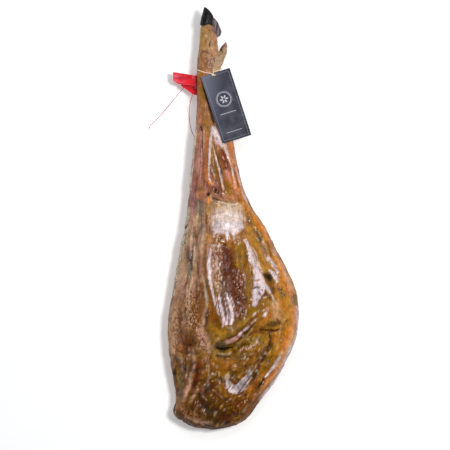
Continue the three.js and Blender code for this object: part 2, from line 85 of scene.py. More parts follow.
# Ridges, creases and hollows of the solid: height, half widths left and right of the path, path.
RELIEF = [
    (5, (22, 5), [(30, 31), (13, 37), (-6, 35), (-26, 37), (-42, 40), (-58, 46)]),
    (3.5, (6, 6), [(-40, 178), (-46, 152), (-48, 112), (-47, 72)]),
    (3, (5, 5), [(-40, 148), (-34, 122), (-29, 91), (-21, 62)]),
    (4.5, (7, 7), [(-34, 172), (-21, 144), (-9, 118), (0, 88), (9, 60), (26, 33)]),
    (-4.5, (8, 8), [(-21, 128), (-14, 104), (-9, 70)]),
    (-3, (6, 6), [(-62, 150), (-62, 110), (-63, 66)]),
    (4.5, (8, 9), [(-52, -50), (-50, -86), (-47, -132), (-38, -174), (-26, -206)]),
    (4.5, (9, 9), [(22, -30), (31, -70), (36, -110), (35, -150), (30, -178)]),
    (-5, (17, 17), [(-4, -62), (-6, -110), (-2, -160), (0, -200)]),
    (-4, (9, 9), [(37, -2), (55, -48), (71, -90), (80, -134)]),
    (4, (11, 11), [(46, 6), (74, -48), (99, -108), (112, -170), (111, -226), (92, -270)]),
    (8, (12, 6), [(50, -197), (34, -212), (17, -227), (-4, -243), (-34, -255)]),
    (-6, (6, 7), [(42, -228), (20, -244), (-6, -262), (-36, -264)]),
    (9, (24, 24), [(52, -250), (22, -276), (0, -300)]),
    (-7, (6, 7), [(58, -219), (75, -228), (74, -250), (57, -280), (38, -316), (16, -348)]),
    (-10, (24, 24), [(-46, -340), (-52, -366)]),
    (6, (9, 8), [(-74, -262), (-80, -290), (-95, -326), (-106, -364)]),
    (-5, (8, 8), [(-100, -256), (-110, -300), (-118, -334)]),
    (3, (7, 7), [(-84, 20), (-88, -40), (-94, -110), (-98, -180), (-96, -240)]),
    (-3.5, (7, 7), [(-74, 10), (-76, -50), (-80, -110), (-78, -180)]),
]

# Heel pads below the dewclaws: start, full and end along Y, reach, height and half thickness.
PADS = [(342, 322, 290, 12, 66, 11), (340, 320, 290, 9, 46, 9)]

# Rows of the dewclaw toes and of the horn: y, left, right, low, high. Equal edges are a pole.
TOES = [
    [(308, -44, -30, 57, 73), (318, -37, -19, 56, 76), (330, -29, -13.4, 57, 75.5),
     (340, -23.6, -12.8, 60, 74), (345.5, -21.6, -13.8, 62.5, 71.5), (347, -17.7, -17.7, 67, 67)],
    [(308, -46, -33, 40, 53), (318, -40, -23, 38, 55), (330, -33, -18.4, 39, 54),
     (339, -27.6, -17.6, 41, 52.5), (344, -25.6, -18.6, 43, 50.5), (345.5, -22, -22, 46.8, 46.8)],
]
HORN = {
    "claw_near": [(385, -66.5, -41, 59, 79), (394, -65.8, -39.6, 59, 80), (404, -63.7, -40.4, 59.5, 79),
                  (412, -61.6, -45.2, 61, 76), (419, -59.6, -52, 63.5, 73), (423, -57.5, -57.5, 68, 68)],
    "claw_far": [(362, -46, -32, 42, 56), (367, -47, -27.5, 40, 58), (376, -48, -24, 39, 58.4),
                 (386, -49, -27.5, 39, 58.4), (396, -50, -32, 41, 57.5), (403, -49, -38.5, 44, 55),
                 (407, -44, -44, 50, 50)],
    "dewclaw_near": [(341, -24, -12, 59.2, 74.8), (345, -22.6, -12.6, 61, 73),
                     (349, -19, -13.6, 64, 70.5), (352, -15.4, -15.4, 68, 68)],
    "dewclaw_far": [(340, -28, -17, 40.4, 53), (344, -26.6, -17.8, 42, 51.6),
                    (347.5, -23.5, -18.6, 44, 49.5), (350, -20, -20, 47, 47)],
}

TWINE_RADIUS = 1.1
STRING_RADIUS = 0.6
LOOP_CLEARANCE = 0.6  # between the ankle and what is tied round it
SEAL_THICKNESS = 0.7
CARD_SIZE = (60.0, 140.0, 0.9)
CARD_CENTRE = (-14.7, 223.7, 85.2)
CARD_TURN = math.radians(18)
CARD_CLIMB = 0.034
CARD_ROLL = (0.05, 0.15)
CARD_BOW = 2.0
CARD_HOLE = (-3.0, 64.5, 3.0)  # across and along from the card's middle, and radius

SEAL_UPPER_EDGE = [
    (-121.8, 295.4, 46), (-112, 294.2, 46.6), (-97, 291.8, 47), (-82, 289.4, 47), (-71.5, 287.6, 46),
    (-68.4, 287, 43), (-71.5, 286.5, 39.6), (-84, 286, 38.4), (-98, 287, 37.4), (-107, 288.5, 36.6),
]
SEAL_LOWER_EDGE = [
    (-121.2, 278.2, 44), (-111.5, 271.8, 44.6), (-95, 270, 45.6), (-82.2, 268.2, 46.4), (-72.4, 260, 46.6),
    (-68.2, 253.6, 43.6), (-70.6, 249.8, 40), (-80, 250.6, 38.4), (-92, 258.8, 37.4), (-105.5, 268.2, 36.4),
]
TWINE_THROUGH_HOLE = [
    (2.2, 1.6, -2.4), (0.9, 0.5, -1.7), (0, 0, 0), (-0.8, 0.6, 1.8), (-3, 2.8, 2.9), (-6, 6, 2.2),
]
KNOT_AT = (-3, 2.8, 2.9)  # across and along from the card's hole, and above it
KNOT_SIZE = 1.15
TWINE_DEGREES = [112, 132, 155, 180, 205, 235, 270, 305, 335, 360, 385, 408, 428]
TWINE_PLACES = [291.4, 294.6, 297.4, 299.4, 300.4, 301, 301.4, 301.4, 301, 300, 297.8, 294.6, 291.6]
STRING_DEGREES = [165, 140, 115, 90, 60, 30, 0, -35, -70, -105, -130]
STRING_PLACES = [264, 269, 275, 280.5, 284, 286.5, 288.5, 290, 291, 291.6, 291.8]
STRING_IN_FOLD = [
    (-70.5, 291.5, 43.4), (-76, 290, 42.8), (-79, 284, 42.6), (-79.4, 275, 42.4), (-79, 267.5, 43),
    (-78.6, 262.4, 45.4), (-76.8, 261.4, 50.4),
]
LOOSE_ENDS = {
    "seal_string_long": [
        (-96, 270, 41.4), (-100.5, 264.5, 41), (-105, 259, 38.6), (-110.5, 253.6, 34), (-116.4, 247.6, 27.4),
        (-122.4, 241.2, 19.4), (-128.6, 234.4, 11.4), (-135, 227.4, 5), (-142, 219.8, 1.8),
        (-149.4, 211.8, 0.9), (-157, 203.8, 0.8), (-163.6, 197.2, 0.8), (-168.6, 192.6, 0.8),
        (-171.4, 188.6, 0.8), (-172.4, 184, 0.8),
    ],
    "seal_string_short": [
        (-80.6, 258, 42), (-81.8, 252.4, 42.4), (-83.4, 247, 41), (-85.4, 241, 36.4), (-87.4, 234.6, 29.6),
        (-88.8, 227.6, 21.4), (-89.6, 220, 13), (-90, 211.6, 6), (-89.6, 202.6, 2), (-88.4, 193.2, 0.9),
        (-86, 183.4, 0.8), (-82.4, 173.4, 0.8), (-78, 163.8, 0.8), (-73.4, 155, 0.8), (-69, 147.4, 0.8),
        (-65, 139.6, 0.8),
    ],
}

# The card's print, in mm from its middle. A line is given by its place and its half width.
FRAME_LINE = (-4.5, 0.3)  # its place is from the rim
ROSETTE_ALONG = 14
ROSETTE_TURNS = 3  # of the cosine, which gives twice as many petals
ROSETTE_REACH = 8.5
ROSETTE_HOLLOW = (2.2, 2.6)
PRINT_RINGS = ((13.5, 0.5), (15.6, 0.25))
PRINT_RULES = ((-14, 16, 0.5), (-52, 16, 0.4))  # place, half length and half width
PRINT_EDGE = 0.08

# Colours of the other pieces, sRGB.
SLATE = (40, 42, 54)
# Paler slate, for wear and for the painted sheen toward the card's upper left corner.
SLATE_WORN_AND_SHEEN = (104, 106, 124)
CARD_INK = (208, 208, 220)
CARD_RIM = (120, 120, 132)
PORE = (56, 34, 16)
# The paler pinks of the film are painted glare and painted highlights, and its darkest red is painted shade
# in the fold.
FILM = {
    "red": (226, 0, 28), "worn": (255, 84, 108), "streak": (150, 0, 20), "crease": (255, 160, 176),
    "fold": (110, 0, 14), "rim": (250, 120, 130),
}
# Dark tone, light tone, and how strong the light streaks are.
HORN_TONES = {
    "black_horn": ((5, 3, 3), (92, 88, 90), 0.2),
    "grey_horn": ((46, 40, 42), (150, 138, 142), 0.85),
    "pale_horn": ((112, 76, 66), (196, 150, 140), 0.7),
}
# The tone of the first ply, the tone of the others, and how fine the fibres are.
THREAD_TONES = {
    "red_string": ((176, 20, 40), (214, 70, 92), 1800),
    "twine_cotton": ((252, 240, 220), (240, 222, 190), 1400),
}

# The studio, in metres: each light's place, its size, and its share of the light on the table.
LAMPS = {
    "key": ((0.6, 0.18, 2.4), (0.26, 0.36), 0.6),
    "top": ((0.15, 0.9, 2.4), (1.0, 0.6), 0.14),
    "left": ((-1.2, 0.0, 2.2), (1.2, 1.6), 0.1),
}
LAMP_AIM = (0, -0.05, 0.06)
SKY_LIGHT = 0.12
TABLE_REFLECTANCE = 0.92
TABLE_REACH = 6000.0  # in mm

# Finishes of the meat, fat, rind and mould: sRGB colour, and wetness from 0, dry, to 1, greasy.
FINISHES = {
    "amber": ((188, 128, 54), 0.6),
    "amber_deep": ((150, 92, 28), 0.5),
    "amber_bright": ((206, 146, 62), 0.75),
    "amber_olive": ((156, 116, 38), 0.5),
    "brown_dark": ((106, 60, 26), 0.35),
    "brown": ((134, 82, 38), 0.4),
    "brown_red": ((128, 72, 44), 0.4),
    "purple_brown": ((116, 74, 56), 0.35),
    # Pale fat, also laid as a painted highlight of the grease.
    "fat_pale": ((238, 214, 202), 0.4),
    # Glossy fat, laid mostly as painted highlights and glints of the grease.
    "fat_glossy": ((240, 220, 222), 0.6),
    # Cream fat, also laid as painted glints and as a painted pale sheen along the left edge.
    "cream": ((238, 222, 196), 0.5),
    "gold_pale": ((218, 184, 146), 0.4),
    "tan": ((212, 166, 134), 0.3),
    "tan_grey": ((178, 144, 116), 0.25),
    "meat": ((158, 108, 70), 0.3),
    # Pink meat, also laid as painted pink highlights.
    "meat_pink": ((204, 152, 134), 0.3),
    "meat_low": ((148, 98, 50), 0.4),
    "streak_dark": ((104, 88, 68), 0.2),
    "mould_grey": ((128, 122, 104), 0.0),
    "mould_blue": ((138, 134, 130), 0.0),
    "mould_green": ((90, 82, 54), 0.05),
    "mould_black": ((58, 50, 38), 0.05),
    "orange": ((228, 142, 62), 0.7),
    "orange_pale": ((230, 178, 124), 0.6),
    "orange_deep": ((210, 110, 34), 0.7),
    # Painted shade in pits, holes and crevices, and the painted shadow beside the card.
    "pit": ((40, 25, 14), 0.2),
    "low_brown": ((104, 74, 40), 0.45),
    # Dark brown, laid mostly as painted shade in creases and hollows.
    "low_dark": ((74, 48, 24), 0.5),
    "shank_purple": ((184, 126, 120), 0.5),
    "shank_orange": ((220, 138, 78), 0.6),
    "shank_red": ((146, 84, 58), 0.65),
    "shank_gold": ((176, 122, 76), 0.5),
    # Pale tendon, with the painted highlight on the shank's ridges.
    "tendon": ((242, 216, 208), 0.6),
    "trotter_gold": ((200, 154, 92), 0.5),
    "trotter_tan": ((184, 138, 104), 0.4),
    "trotter_orange": ((206, 142, 92), 0.5),
    "pad_tan": ((198, 166, 134), 0.35),
    "trotter_brown": ((150, 104, 76), 0.35),
    "shank_brown": ((198, 136, 108), 0.45),
    "brown_deep": ((98, 52, 16), 0.35),
    "horn_grey": ((104, 90, 94), 0.2),
    "rind": ((196, 134, 72), 0.55),
    "rind_brown": ((146, 98, 58), 0.45),
}

# Light shining off the grease comes on top of a finish's own colour, which is lowered for it.
GLAZE = 0.02
BRIGHTNESS = 1.12

# Ground colours: y, then the finishes at the left, in the middle and at the right of the leg.
GROUND = [
    (400, "trotter_brown", "trotter_tan", "trotter_brown"),
    (380, "trotter_gold", "trotter_gold", "trotter_tan"),
    (345, "trotter_gold", "trotter_tan", "pad_tan"),
    (312, "trotter_tan", "trotter_tan", "pad_tan"),
    (285, "shank_gold", "shank_gold", "trotter_tan"),
    (200, "shank_gold", "shank_gold", "shank_gold"),
    (165, "shank_purple", "shank_gold", "shank_orange"),
    (60, "shank_purple", "shank_red", "shank_orange"),
    (20, "tan_grey", "tan", "amber"),
    (-50, "tan", "amber_deep", "amber"),
    (-120, "tan", "brown", "amber"),
    (-180, "meat", "brown", "amber"),
    (-250, "meat", "amber_olive", "amber"),
    (-320, "meat_low", "brown", "amber_deep"),
    (-380, "low_brown", "low_brown", "brown"),
    (-425, "low_brown", "low_brown", "low_brown"),
]

# How a patch is laid on: its softness and its raggedness in mm, and the layer that it goes into.
# The ground layer blends. Pale and dark are flecks over it, and the finish's share is how thickly
# they lie.
# The pale flecks are mostly painted glints of the grease, partly pale fat.
HANDS = {
    "soft": (9.0, 5.0, "ground"),
    "smooth": (3.5, 3.0, "ground"),
    "crisp": (1.2, 1.4, "ground"),
    "pale": (5.0, 4.0, "pale"),
    "dark": (5.0, 4.0, "dark"),
}

# Patches on the upper side, laid over each other in turn: finish, share, height in mm, hand, and
# then one or more paths of x, y and half width. A path of one point is a round spot.
PATCHES = [
    # trotter and ankle, with painted highlights and painted shade in its pits
    ("trotter_gold", 0.9, 0, "soft", [(-61, 378, 5), (-60, 348, 5)]),
    ("amber_olive", 0.5, 0, "smooth", [(-62, 378, 2.4), (-63, 346, 2.4)]),
    ("meat_pink", 0.6, 0, "smooth", [(-56, 385, 2.4), (-47, 383, 2)]),
    ("trotter_orange", 0.9, 1.6, "smooth", [(-38, 367, 3), (-37, 345, 4), (-38, 328, 4)]),
    ("cream", 0.6, 0.6, "smooth", [(-55, 366, 1.6)]),
    ("trotter_tan", 0.8, 0, "smooth", [(-51, 369, 2.4), (-43, 371, 2)]),
    ("horn_grey", 0.9, -0.8, "crisp", [(-43, 381, 0.8), (-38, 374, 1), (-31, 367, 1)]),
    ("purple_brown", 0.7, 0, "smooth", [(-40, 379, 1.6), (-33, 366, 2)]),
    ("pit", 0.9, -1.5, "crisp", [(-46, 356, 0.8), (-48, 347, 1.4)]),
    ("low_brown", 0.8, -0.6, "crisp", [(-46, 352, 0.6), (-42, 360, 0.6)]),
    ("pad_tan", 0.8, 0, "soft", [(-29, 340, 4), (-27, 318, 6), (-29, 302, 4)]),
    ("cream", 0.6, 0.4, "crisp", [(-15, 334, 0.8), (-20, 318, 0.8)]),
    ("pit", 0.9, -1.4, "crisp", [(-26, 340, 0.8), (-22, 333, 1.2)]),
    ("brown", 0.6, 0, "smooth", [(-66, 330, 2), (-60, 312, 4), (-46, 316, 4)]),
    ("meat_pink", 0.7, 1.2, "crisp", [(-68, 308, 0.9), (-60, 313, 1.1), (-52, 318, 0.8)]),
    ("brown_red", 0.6, -0.8, "smooth", [(-57, 307, 3)]),
    ("brown_dark", 0.75, -0.8, "crisp", [(-69, 330, 0.4), (-60, 336, 0.7), (-49, 331, 0.4)],
     [(-66, 300, 0.4), (-57, 303, 0.8), (-47, 298, 0.5)]),
    ("low_dark", 0.8, -0.8, "smooth", [(-42, 327, 1.2), (-38, 319, 1.2)]),
    ("tan", 0.8, 0.4, "smooth", [(-49, 325, 1.6)]),
    ("brown_red", 0.7, -0.8, "smooth", [(-45, 308, 2.4), (-44, 298, 2.8)]),
    ("shank_orange", 0.6, 0, "smooth", [(-68, 293, 3), (-54, 291, 3)]),
    ("pit", 0.9, -1, "crisp", [(-41, 289, 1.8)]),
    # upper shank beside the tag
    ("amber", 0.6, 0, "soft", [(-64, 286, 6), (-62, 240, 6)]),
    ("shank_orange", 0.5, 0, "dark", [(-68, 268, 3), (-67, 200, 3)]),
    ("amber_olive", 0.7, 0, "smooth", [(-60, 272, 4), (-58, 246, 4)]),
    # painted shadow along the card's left edge
    ("pit", 0.9, -0.8, "crisp", [(-62, 266, 0.8), (-53, 238, 2.2), (-44, 208, 2.6), (-38, 186, 1.4)]),
    ("amber_olive", 0.7, 0, "smooth", [(-56, 196, 4), (-54, 180, 4)]),
    ("shank_purple", 0.7, 0, "smooth", [(-71, 196, 3), (-70, 176, 4)]),
    ("low_dark", 0.6, -0.4, "dark", [(-67, 190, 3), (-64, 178, 3)]),
    # shank, with painted highlights on its tendons and painted shade in its hole and grooves
    ("shank_brown", 0.85, 0, "soft", [(-71, 230, 5), (-71, 166, 7), (-73, 110, 8), (-75, 50, 9)]),
    ("shank_purple", 0.75, 0, "smooth", [(-75, 140, 4), (-77, 104, 5), (-80, 50, 6), (-80, 14, 7)]),
    ("brown_red", 0.7, 0, "crisp", [(-70, 160, 0.8), (-71, 120, 1), (-74, 70, 1.2), (-77, 30, 1)],
     [(-66, 150, 0.6), (-67, 110, 0.8), (-68, 80, 0.8)]),
    ("meat_pink", 0.6, 0.3, "smooth", [(-70, 150, 1.6), (-71, 120, 2.4), (-73, 90, 2)]),
    ("cream", 0.9, 0.5, "crisp", [(-74, 190, 1), (-76, 156, 1.5), (-79.5, 130, 1.7), (-83.5, 90, 1.9),
     (-86, 60, 1.9)]),
    ("low_dark", 0.85, -1, "crisp", [(-62, 166, 0.8), (-63, 146, 1), (-61.5, 127, 0.7)]),
    ("meat_pink", 0.7, 0.4, "crisp", [(-58, 164, 1), (-57.5, 146, 1.3), (-58.5, 130, 0.8)]),
    ("shank_orange", 0.9, 0, "smooth", [(-51, 168, 2.4), (-53, 140, 2.6), (-54, 118, 2.4), (-56, 100, 3.4),
     (-55, 84, 4), (-46, 72, 5)]),
    ("orange_deep", 0.6, 0, "smooth", [(-50, 166, 1.6), (-52, 140, 1.6), (-54, 100, 2), (-53, 84, 2)]),
    ("brown_red", 0.6, 0, "smooth", [(-59, 122, 1), (-61, 98, 1.6), (-62, 78, 1.2)]),
    ("amber", 0.75, 0, "smooth", [(-67, 70, 2), (-64, 58, 3), (-65, 42, 3)]),
    ("shank_red", 0.7, 0, "soft", [(-74, 84, 4), (-72, 62, 4)]),
    ("amber_olive", 0.85, 0, "smooth", [(-42, 142, 2), (-41, 120, 3), (-38, 100, 4), (-34, 84, 3)]),
    ("shank_red", 0.8, 0, "smooth", [(-39, 92, 2.4), (-40, 84, 2.4)]),
    ("meat_pink", 0.8, 0.9, "smooth", [(-43.5, 172, 2.6), (-46, 140, 2.6), (-47.5, 116, 2.4), (-48, 98, 2),
     (-47, 79, 2)]),
    ("tendon", 0.9, 0.8, "crisp", [(-44.5, 172, 2), (-47, 140, 2.2), (-48.5, 116, 2), (-50, 98, 1),
     (-49.5, 84, 1.2), (-46, 77, 2)]),
    ("tendon", 0.75, 0.4, "crisp", [(-45, 104, 0.7), (-41, 94, 0.7), (-37.5, 87, 0.5)]),
    ("streak_dark", 0.85, -0.5, "crisp", [(-46.5, 100, 0.8), (-45, 92, 0.9)]),
    ("shank_red", 0.95, 0, "smooth", [(-22, 138, 4), (-18, 120, 8), (-14, 104, 8)]),
    ("brown_deep", 0.5, 0, "dark", [(-20, 130, 4), (-14, 104, 7)]),
    ("shank_purple", 0.6, 0, "soft", [(-14, 94, 6), (-9, 82, 5)]),
    ("amber_olive", 0.95, 0, "soft", [(-13, 72, 5), (-13, 54, 6)]),
    ("brown_red", 0.9, 0, "soft", [(-36, 56, 5), (-26, 50, 5)]),
    ("low_dark", 0.5, 0, "dark", [(-40, 62, 5), (-24, 46, 6)]),
    ("shank_orange", 0.9, 0, "smooth", [(-9, 152, 2.4), (-6, 136, 2.4), (-4, 122, 1.6), (-1, 110, 1)]),
    ("orange_deep", 0.6, 0, "crisp", [(-8, 146, 1.2), (-4.5, 124, 1)]),
    ("tendon", 0.9, 0.9, "crisp", [(-41.5, 148, 0.4), (-37.6, 132, 0.9), (-33.5, 117, 1.1),
     (-29.5, 102, 1.5), (-26.4, 88, 1.5), (-23, 72, 1.7), (-19.5, 58, 1)]),
    ("tendon", 0.8, 0.6, "crisp", [(-29, 98, 0.6), (-24, 86, 0.8), (-21, 74, 0.8)]),
    ("streak_dark", 0.9, -0.6, "crisp", [(-27.5, 97, 0.7), (-24.6, 85, 0.8), (-22.4, 76, 0.5)]),
    ("mould_green", 0.85, -1, "crisp", [(-35, 138, 0.7), (-30.5, 122, 1), (-26.5, 106, 1),
     (-22.5, 92, 0.7)]),
    ("meat_pink", 0.7, 0, "crisp", [(-36, 158, 1.2), (-34, 148, 0.8)]),
    # painted highlight below the card
    ("fat_glossy", 0.95, 1.2, "smooth", [(-41, 182, 4), (-35, 168, 5.4), (-29, 156, 5.4), (-22, 146, 2.4)]),
    ("shank_purple", 0.7, -0.4, "crisp", [(-34, 164, 0.8), (-30, 152, 0.8)]),
    ("meat_pink", 0.85, 1.0, "smooth", [(-19, 150, 3.6), (-14, 136, 3.4), (-9, 120, 2), (-5, 107, 1.4),
     (-2, 92, 1)]),
    ("tendon", 0.9, 0.7, "crisp", [(-18.5, 148, 2.8), (-14, 135, 2.4), (-9.5, 119, 1.4), (-5, 107, 1),
     (-2, 92, 1.1), (1.5, 76, 1.2), (6, 64, 0.8)]),
    ("meat_pink", 0.85, 0.6, "crisp", [(-8, 152, 0.8), (-1, 134, 1), (1.5, 117, 1.2), (5, 97, 1.5),
     (11, 76, 1.6), (16, 56, 1.4), (23, 36, 1), (34, 20, 0.8)]),
    ("tendon", 0.75, 0.4, "crisp", [(4, 104, 0.6), (9, 84, 0.9), (13.5, 66, 1), (19.5, 46, 0.8),
     (29, 28, 0.8)]),
    ("shank_red", 0.7, -0.4, "crisp", [(0, 100, 0.7), (5, 82, 0.8), (9, 66, 0.8)]),
    ("streak_dark", 0.85, 0, "crisp", [(3, 142, 0.9), (8.5, 108, 0.9), (16.5, 78, 1), (26, 46, 1.3),
     (38, 23, 1.6)]),
    ("brown_red", 0.6, 0, "smooth", [(-2, 62, 3), (5, 50, 4), (11, 40, 4)]),
    ("cream", 0.7, 0.4, "crisp", [(4, 54, 0.5), (9.5, 49, 0.6)]),
    ("meat_pink", 0.6, 0.3, "pale", [(-8, 48, 3), (0, 42, 3)]),
    ("pit", 0.97, -3, "crisp", [(-50.5, 50.6, 3)]),
    ("orange", 0.9, 0.8, "smooth", [(-49, 42, 3.4), (-50, 33, 3.4)]),
    ("cream", 0.8, 0.5, "crisp", [(-46, 47, 0.9), (-45, 40, 0.7)]),
    ("meat_pink", 0.85, 0.5, "crisp", [(-58, 40, 1), (-57, 35, 1.4)]),
    ("shank_purple", 0.8, 0, "smooth", [(-59, 48, 1.4), (-60, 38, 1.4)]),
    ("orange_deep", 0.6, 0, "smooth", [(-64, 48, 1.2), (-64, 40, 1.2)]),
    ("mould_grey", 0.5, 0, "dark", [(-78, 36, 5), (-77, 16, 6)]),
    # edge of the fat cap, with painted shade in its slit and painted glints along it
    ("gold_pale", 0.9, 0, "smooth", [(-36, 28, 4), (-8, 26, 6), (14, 26, 5)]),
    ("amber_bright", 0.7, 0, "smooth", [(-34, 26, 3), (-14, 24, 2.4)]),
    ("amber_olive", 0.7, 0, "smooth", [(-42, 30, 4), (-40, 18, 3)]),
    ("mould_green", 0.3, 0, "dark", [(-36, 30, 4), (-24, 28, 3)]),
    ("pit", 0.95, -3, "crisp", [(-40, 43, 1.6), (-34, 41, 1.6), (-26, 38, 0.8)]),
    ("low_dark", 0.7, -1.2, "crisp", [(-26, 38, 0.6), (-14, 35, 0.6), (2, 33, 0.5)]),
    ("cream", 0.8, 0.8, "crisp", [(-33, 36, 0.8), (-18, 32, 1), (-6, 29, 1), (12, 30, 1)]),
    ("mould_grey", 0.8, 0, "smooth", [(-66, 34, 4), (-66, 16, 5)]),
    ("mould_blue", 0.6, 0, "smooth", [(-68, 30, 1.4)]),
    ("amber_bright", 0.8, 0, "smooth", [(-51, 24, 3), (-50, 14, 3)]),
    ("brown", 0.5, 0, "dark", [(-56, 12, 6), (-52, -10, 7)]),
    # pale plate of fat, with a painted highlight of the grease over it
    ("gold_pale", 0.9, 0, "smooth", [(-32, 20, 4), (-6, 21, 4), (14, 20, 4)]),
    ("fat_pale", 0.6, 0.3, "soft", [(-34, 14, 6), (-8, 16, 9), (14, 12, 8)]),
    ("fat_pale", 0.97, 0.5, "smooth", [(-38, 2, 6), (-14, 4, 11), (8, 3, 11), (18, 0, 6)]),
    ("fat_pale", 0.97, 0.4, "smooth", [(-35, -8, 8), (-12, -9, 11), (8, -9, 10), (18, -10, 5)]),
    ("fat_glossy", 0.85, 0.4, "smooth", [(-32, -17, 11), (-12, -18, 12), (2, -17, 12), (15, -15, 7)]),
    ("fat_glossy", 0.95, 0.5, "crisp", [(-13, -28, 4), (-12, -44, 1)], [(0, -28, 3.4), (1, -42, 0.8)]),
    ("fat_glossy", 0.9, 0.5, "crisp", [(-36, -24, 3), (-40, -36, 1.6)]),
    ("gold_pale", 0.5, 0.4, "pale", [(-34, -34, 6), (-26, -46, 8)]),
    ("mould_grey", 0.6, -0.4, "crisp", [(-31, 8, 0.3), (-33, -8, 0.5)]),
    ("tan_grey", 0.6, -0.4, "crisp", [(-28, -14, 0.4), (-30, -22, 0.6)]),
    ("mould_grey", 0.6, -0.4, "crisp", [(-8, 2, 0.3), (-8, -10, 0.4)]),
    ("amber", 0.7, -0.5, "crisp", [(7, 22, 0.8), (11, 9, 1.2), (14, -2, 0.9)]),
    ("amber", 0.8, -0.5, "crisp", [(17, 16, 1), (20, 3, 1.4), (18, -11, 1)]),
    ("amber", 0.8, 0, "crisp", [(20, -2, 1), (21, -14, 1.2)]),
    ("low_dark", 0.55, -0.5, "dark", [(-36, -34, 4), (-26, -40, 8), (-20, -50, 7)]),
    # amber bands and the brown middle, with painted glints and painted shade in its pits
    ("amber_bright", 0.95, 0, "smooth", [(-52, -30, 4), (-50, -44, 4.5)]),
    ("meat_pink", 0.7, 0.3, "smooth", [(-47, -42, 2.4)]),
    ("amber_deep", 0.9, 0, "smooth", [(-57, -52, 2.4), (-58, -84, 2.6), (-56, -116, 2.4), (-51, -140, 3)]),
    ("brown_dark", 0.95, -0.6, "soft", [(-16, -60, 9), (-12, -84, 14), (-14, -124, 14), (-8, -150, 10)]),
    ("brown_deep", 0.85, -0.6, "smooth", [(-13, -58, 5), (-12, -88, 7), (-14, -106, 6)]),
    ("amber", 0.95, 0, "smooth", [(-6, -27, 0.6), (-7, -40, 3), (-8, -54, 4)], [(15.5, -26, 0.8),
     (17, -38, 2.2), (14, -52, 5)]),
    ("amber_olive", 0.97, 0, "smooth", [(12, -54, 9), (13, -74, 11), (11, -92, 8)]),
    ("amber_deep", 0.7, 0, "soft", [(14, -64, 4), (12, -82, 4)]),
    ("orange_deep", 0.8, 0, "smooth", [(1.5, -43, 1.2), (2.5, -56, 1.8)]),
    ("brown_dark", 0.5, 0, "dark", [(-10, -64, 5), (-6, -84, 7), (6, -98, 8)]),
    ("cream", 0.85, 0.5, "crisp", [(11.5, -39, 1.2)]),
    ("cream", 0.8, 0.5, "crisp", [(13.5, -48, 1)], [(9, -52, 0.8), (10.5, -46, 0.6)]),
    ("gold_pale", 0.45, 0.4, "pale", [(-37, -50, 4), (-28, -58, 5)]),
    ("meat_pink", 0.5, 0.3, "pale", [(-38, -66, 3), (-35, -90, 5), (-31, -114, 5)]),
    ("fat_glossy", 0.8, 0.5, "crisp", [(-34, -84, 1), (-33, -94, 1.5), (-35, -102, 0.8)]),
    ("fat_pale", 0.7, 0.5, "crisp", [(-36.5, -104, 0.7), (-38, -114, 0.9)]),
    ("meat_pink", 0.8, 0.4, "crisp", [(-35, -104, 0.5), (-33, -120, 0.8)]),
    ("meat_pink", 0.7, 0.5, "crisp", [(-26, -112, 1), (-22, -115, 1.2), (-25, -119, 0.8)]),
    ("amber_olive", 0.8, 0, "soft", [(-35, -128, 3), (-33, -148, 3)]),
    ("purple_brown", 0.8, 0.4, "smooth", [(4, -104, 8), (10, -128, 12), (12, -152, 11), (15, -190, 10)]),
    ("meat_pink", 0.36, 0.3, "pale", [(10, -108, 10), (14, -150, 9), (16, -190, 8)]),
    ("brown_deep", 0.55, -0.4, "dark", [(0, -112, 8), (4, -140, 7), (8, -180, 6)]),
    ("pit", 0.45, -0.4, "dark", [(8, -108, 4), (12, -146, 5), (12, -178, 5)]),
    ("fat_glossy", 0.7, 0.4, "crisp", [(22.5, -118, 0.7), (24, -138, 0.9)]),
    ("amber_olive", 0.97, 0, "smooth", [(28, -92, 2.4), (29, -120, 3.4), (31, -160, 3.6), (32, -176, 3)]),
    ("brown_dark", 0.45, 0, "dark", [(30, -120, 3), (33, -172, 4)]),
    # long painted highlights of the grease
    ("fat_glossy", 0.97, 1.2, "crisp", [(-45, -58, 1.2), (-47, -74, 2.8), (-48.5, -92, 3.8),
     (-47.5, -108, 3.2), (-48, -118, 3), (-44, -138, 2.6), (-40.5, -153, 2), (-37, -174, 1.6)]),
    ("purple_brown", 0.85, -0.3, "smooth", [(-22, -152, 6), (-16, -178, 10), (-10, -206, 9)]),
    ("fat_glossy", 0.97, 0.9, "crisp", [(-29, -150, 0.8), (-26.5, -166, 2.6), (-23, -184, 3.2),
     (-19, -200, 2.4), (-22, -216, 1.4)], [(-14, -148, 1), (-10, -162, 2.8), (-5, -178, 3.6),
     (-3, -194, 3.4), (-5, -210, 2)]),
    ("fat_glossy", 0.9, 0.6, "crisp", [(-18, -158, 0.6), (-14, -178, 1.2), (-11, -196, 1.6),
     (-15, -210, 2.6)]),
    ("fat_glossy", 0.8, 0.5, "crisp", [(-7, -152, 0.6), (-2, -166, 1), (3, -182, 0.6)], [(-34, -158, 0.8),
     (-32, -176, 1.6), (-28, -192, 0.8)]),
    ("brown_deep", 0.95, -1, "crisp", [(-23, -152, 0.6), (-19, -176, 1.4), (-15.5, -198, 0.9)]),
    ("purple_brown", 0.95, -0.6, "crisp", [(-30, -158, 0.6), (-28, -178, 1), (-25, -196, 0.8)]),
    ("brown_deep", 0.95, -1, "crisp", [(-13, -162, 0.6), (-9.6, -184, 1.2), (-8, -204, 0.8)]),
    ("fat_glossy", 0.7, 0.8, "pale", [(25, -40, 3), (28, -56, 4), (32, -74, 4), (38, -90, 5)]),
    ("fat_glossy", 0.97, 0.8, "crisp", [(21, -42, 1.4), (26, -50, 2), (31, -62, 2.4), (34, -74, 2.2),
     (40, -88, 3), (45, -102, 4)]),
    ("fat_glossy", 0.9, 0.6, "crisp", [(30, -52, 0.9), (37, -66, 1.2), (43, -80, 1.4), (48, -94, 1.8)]),
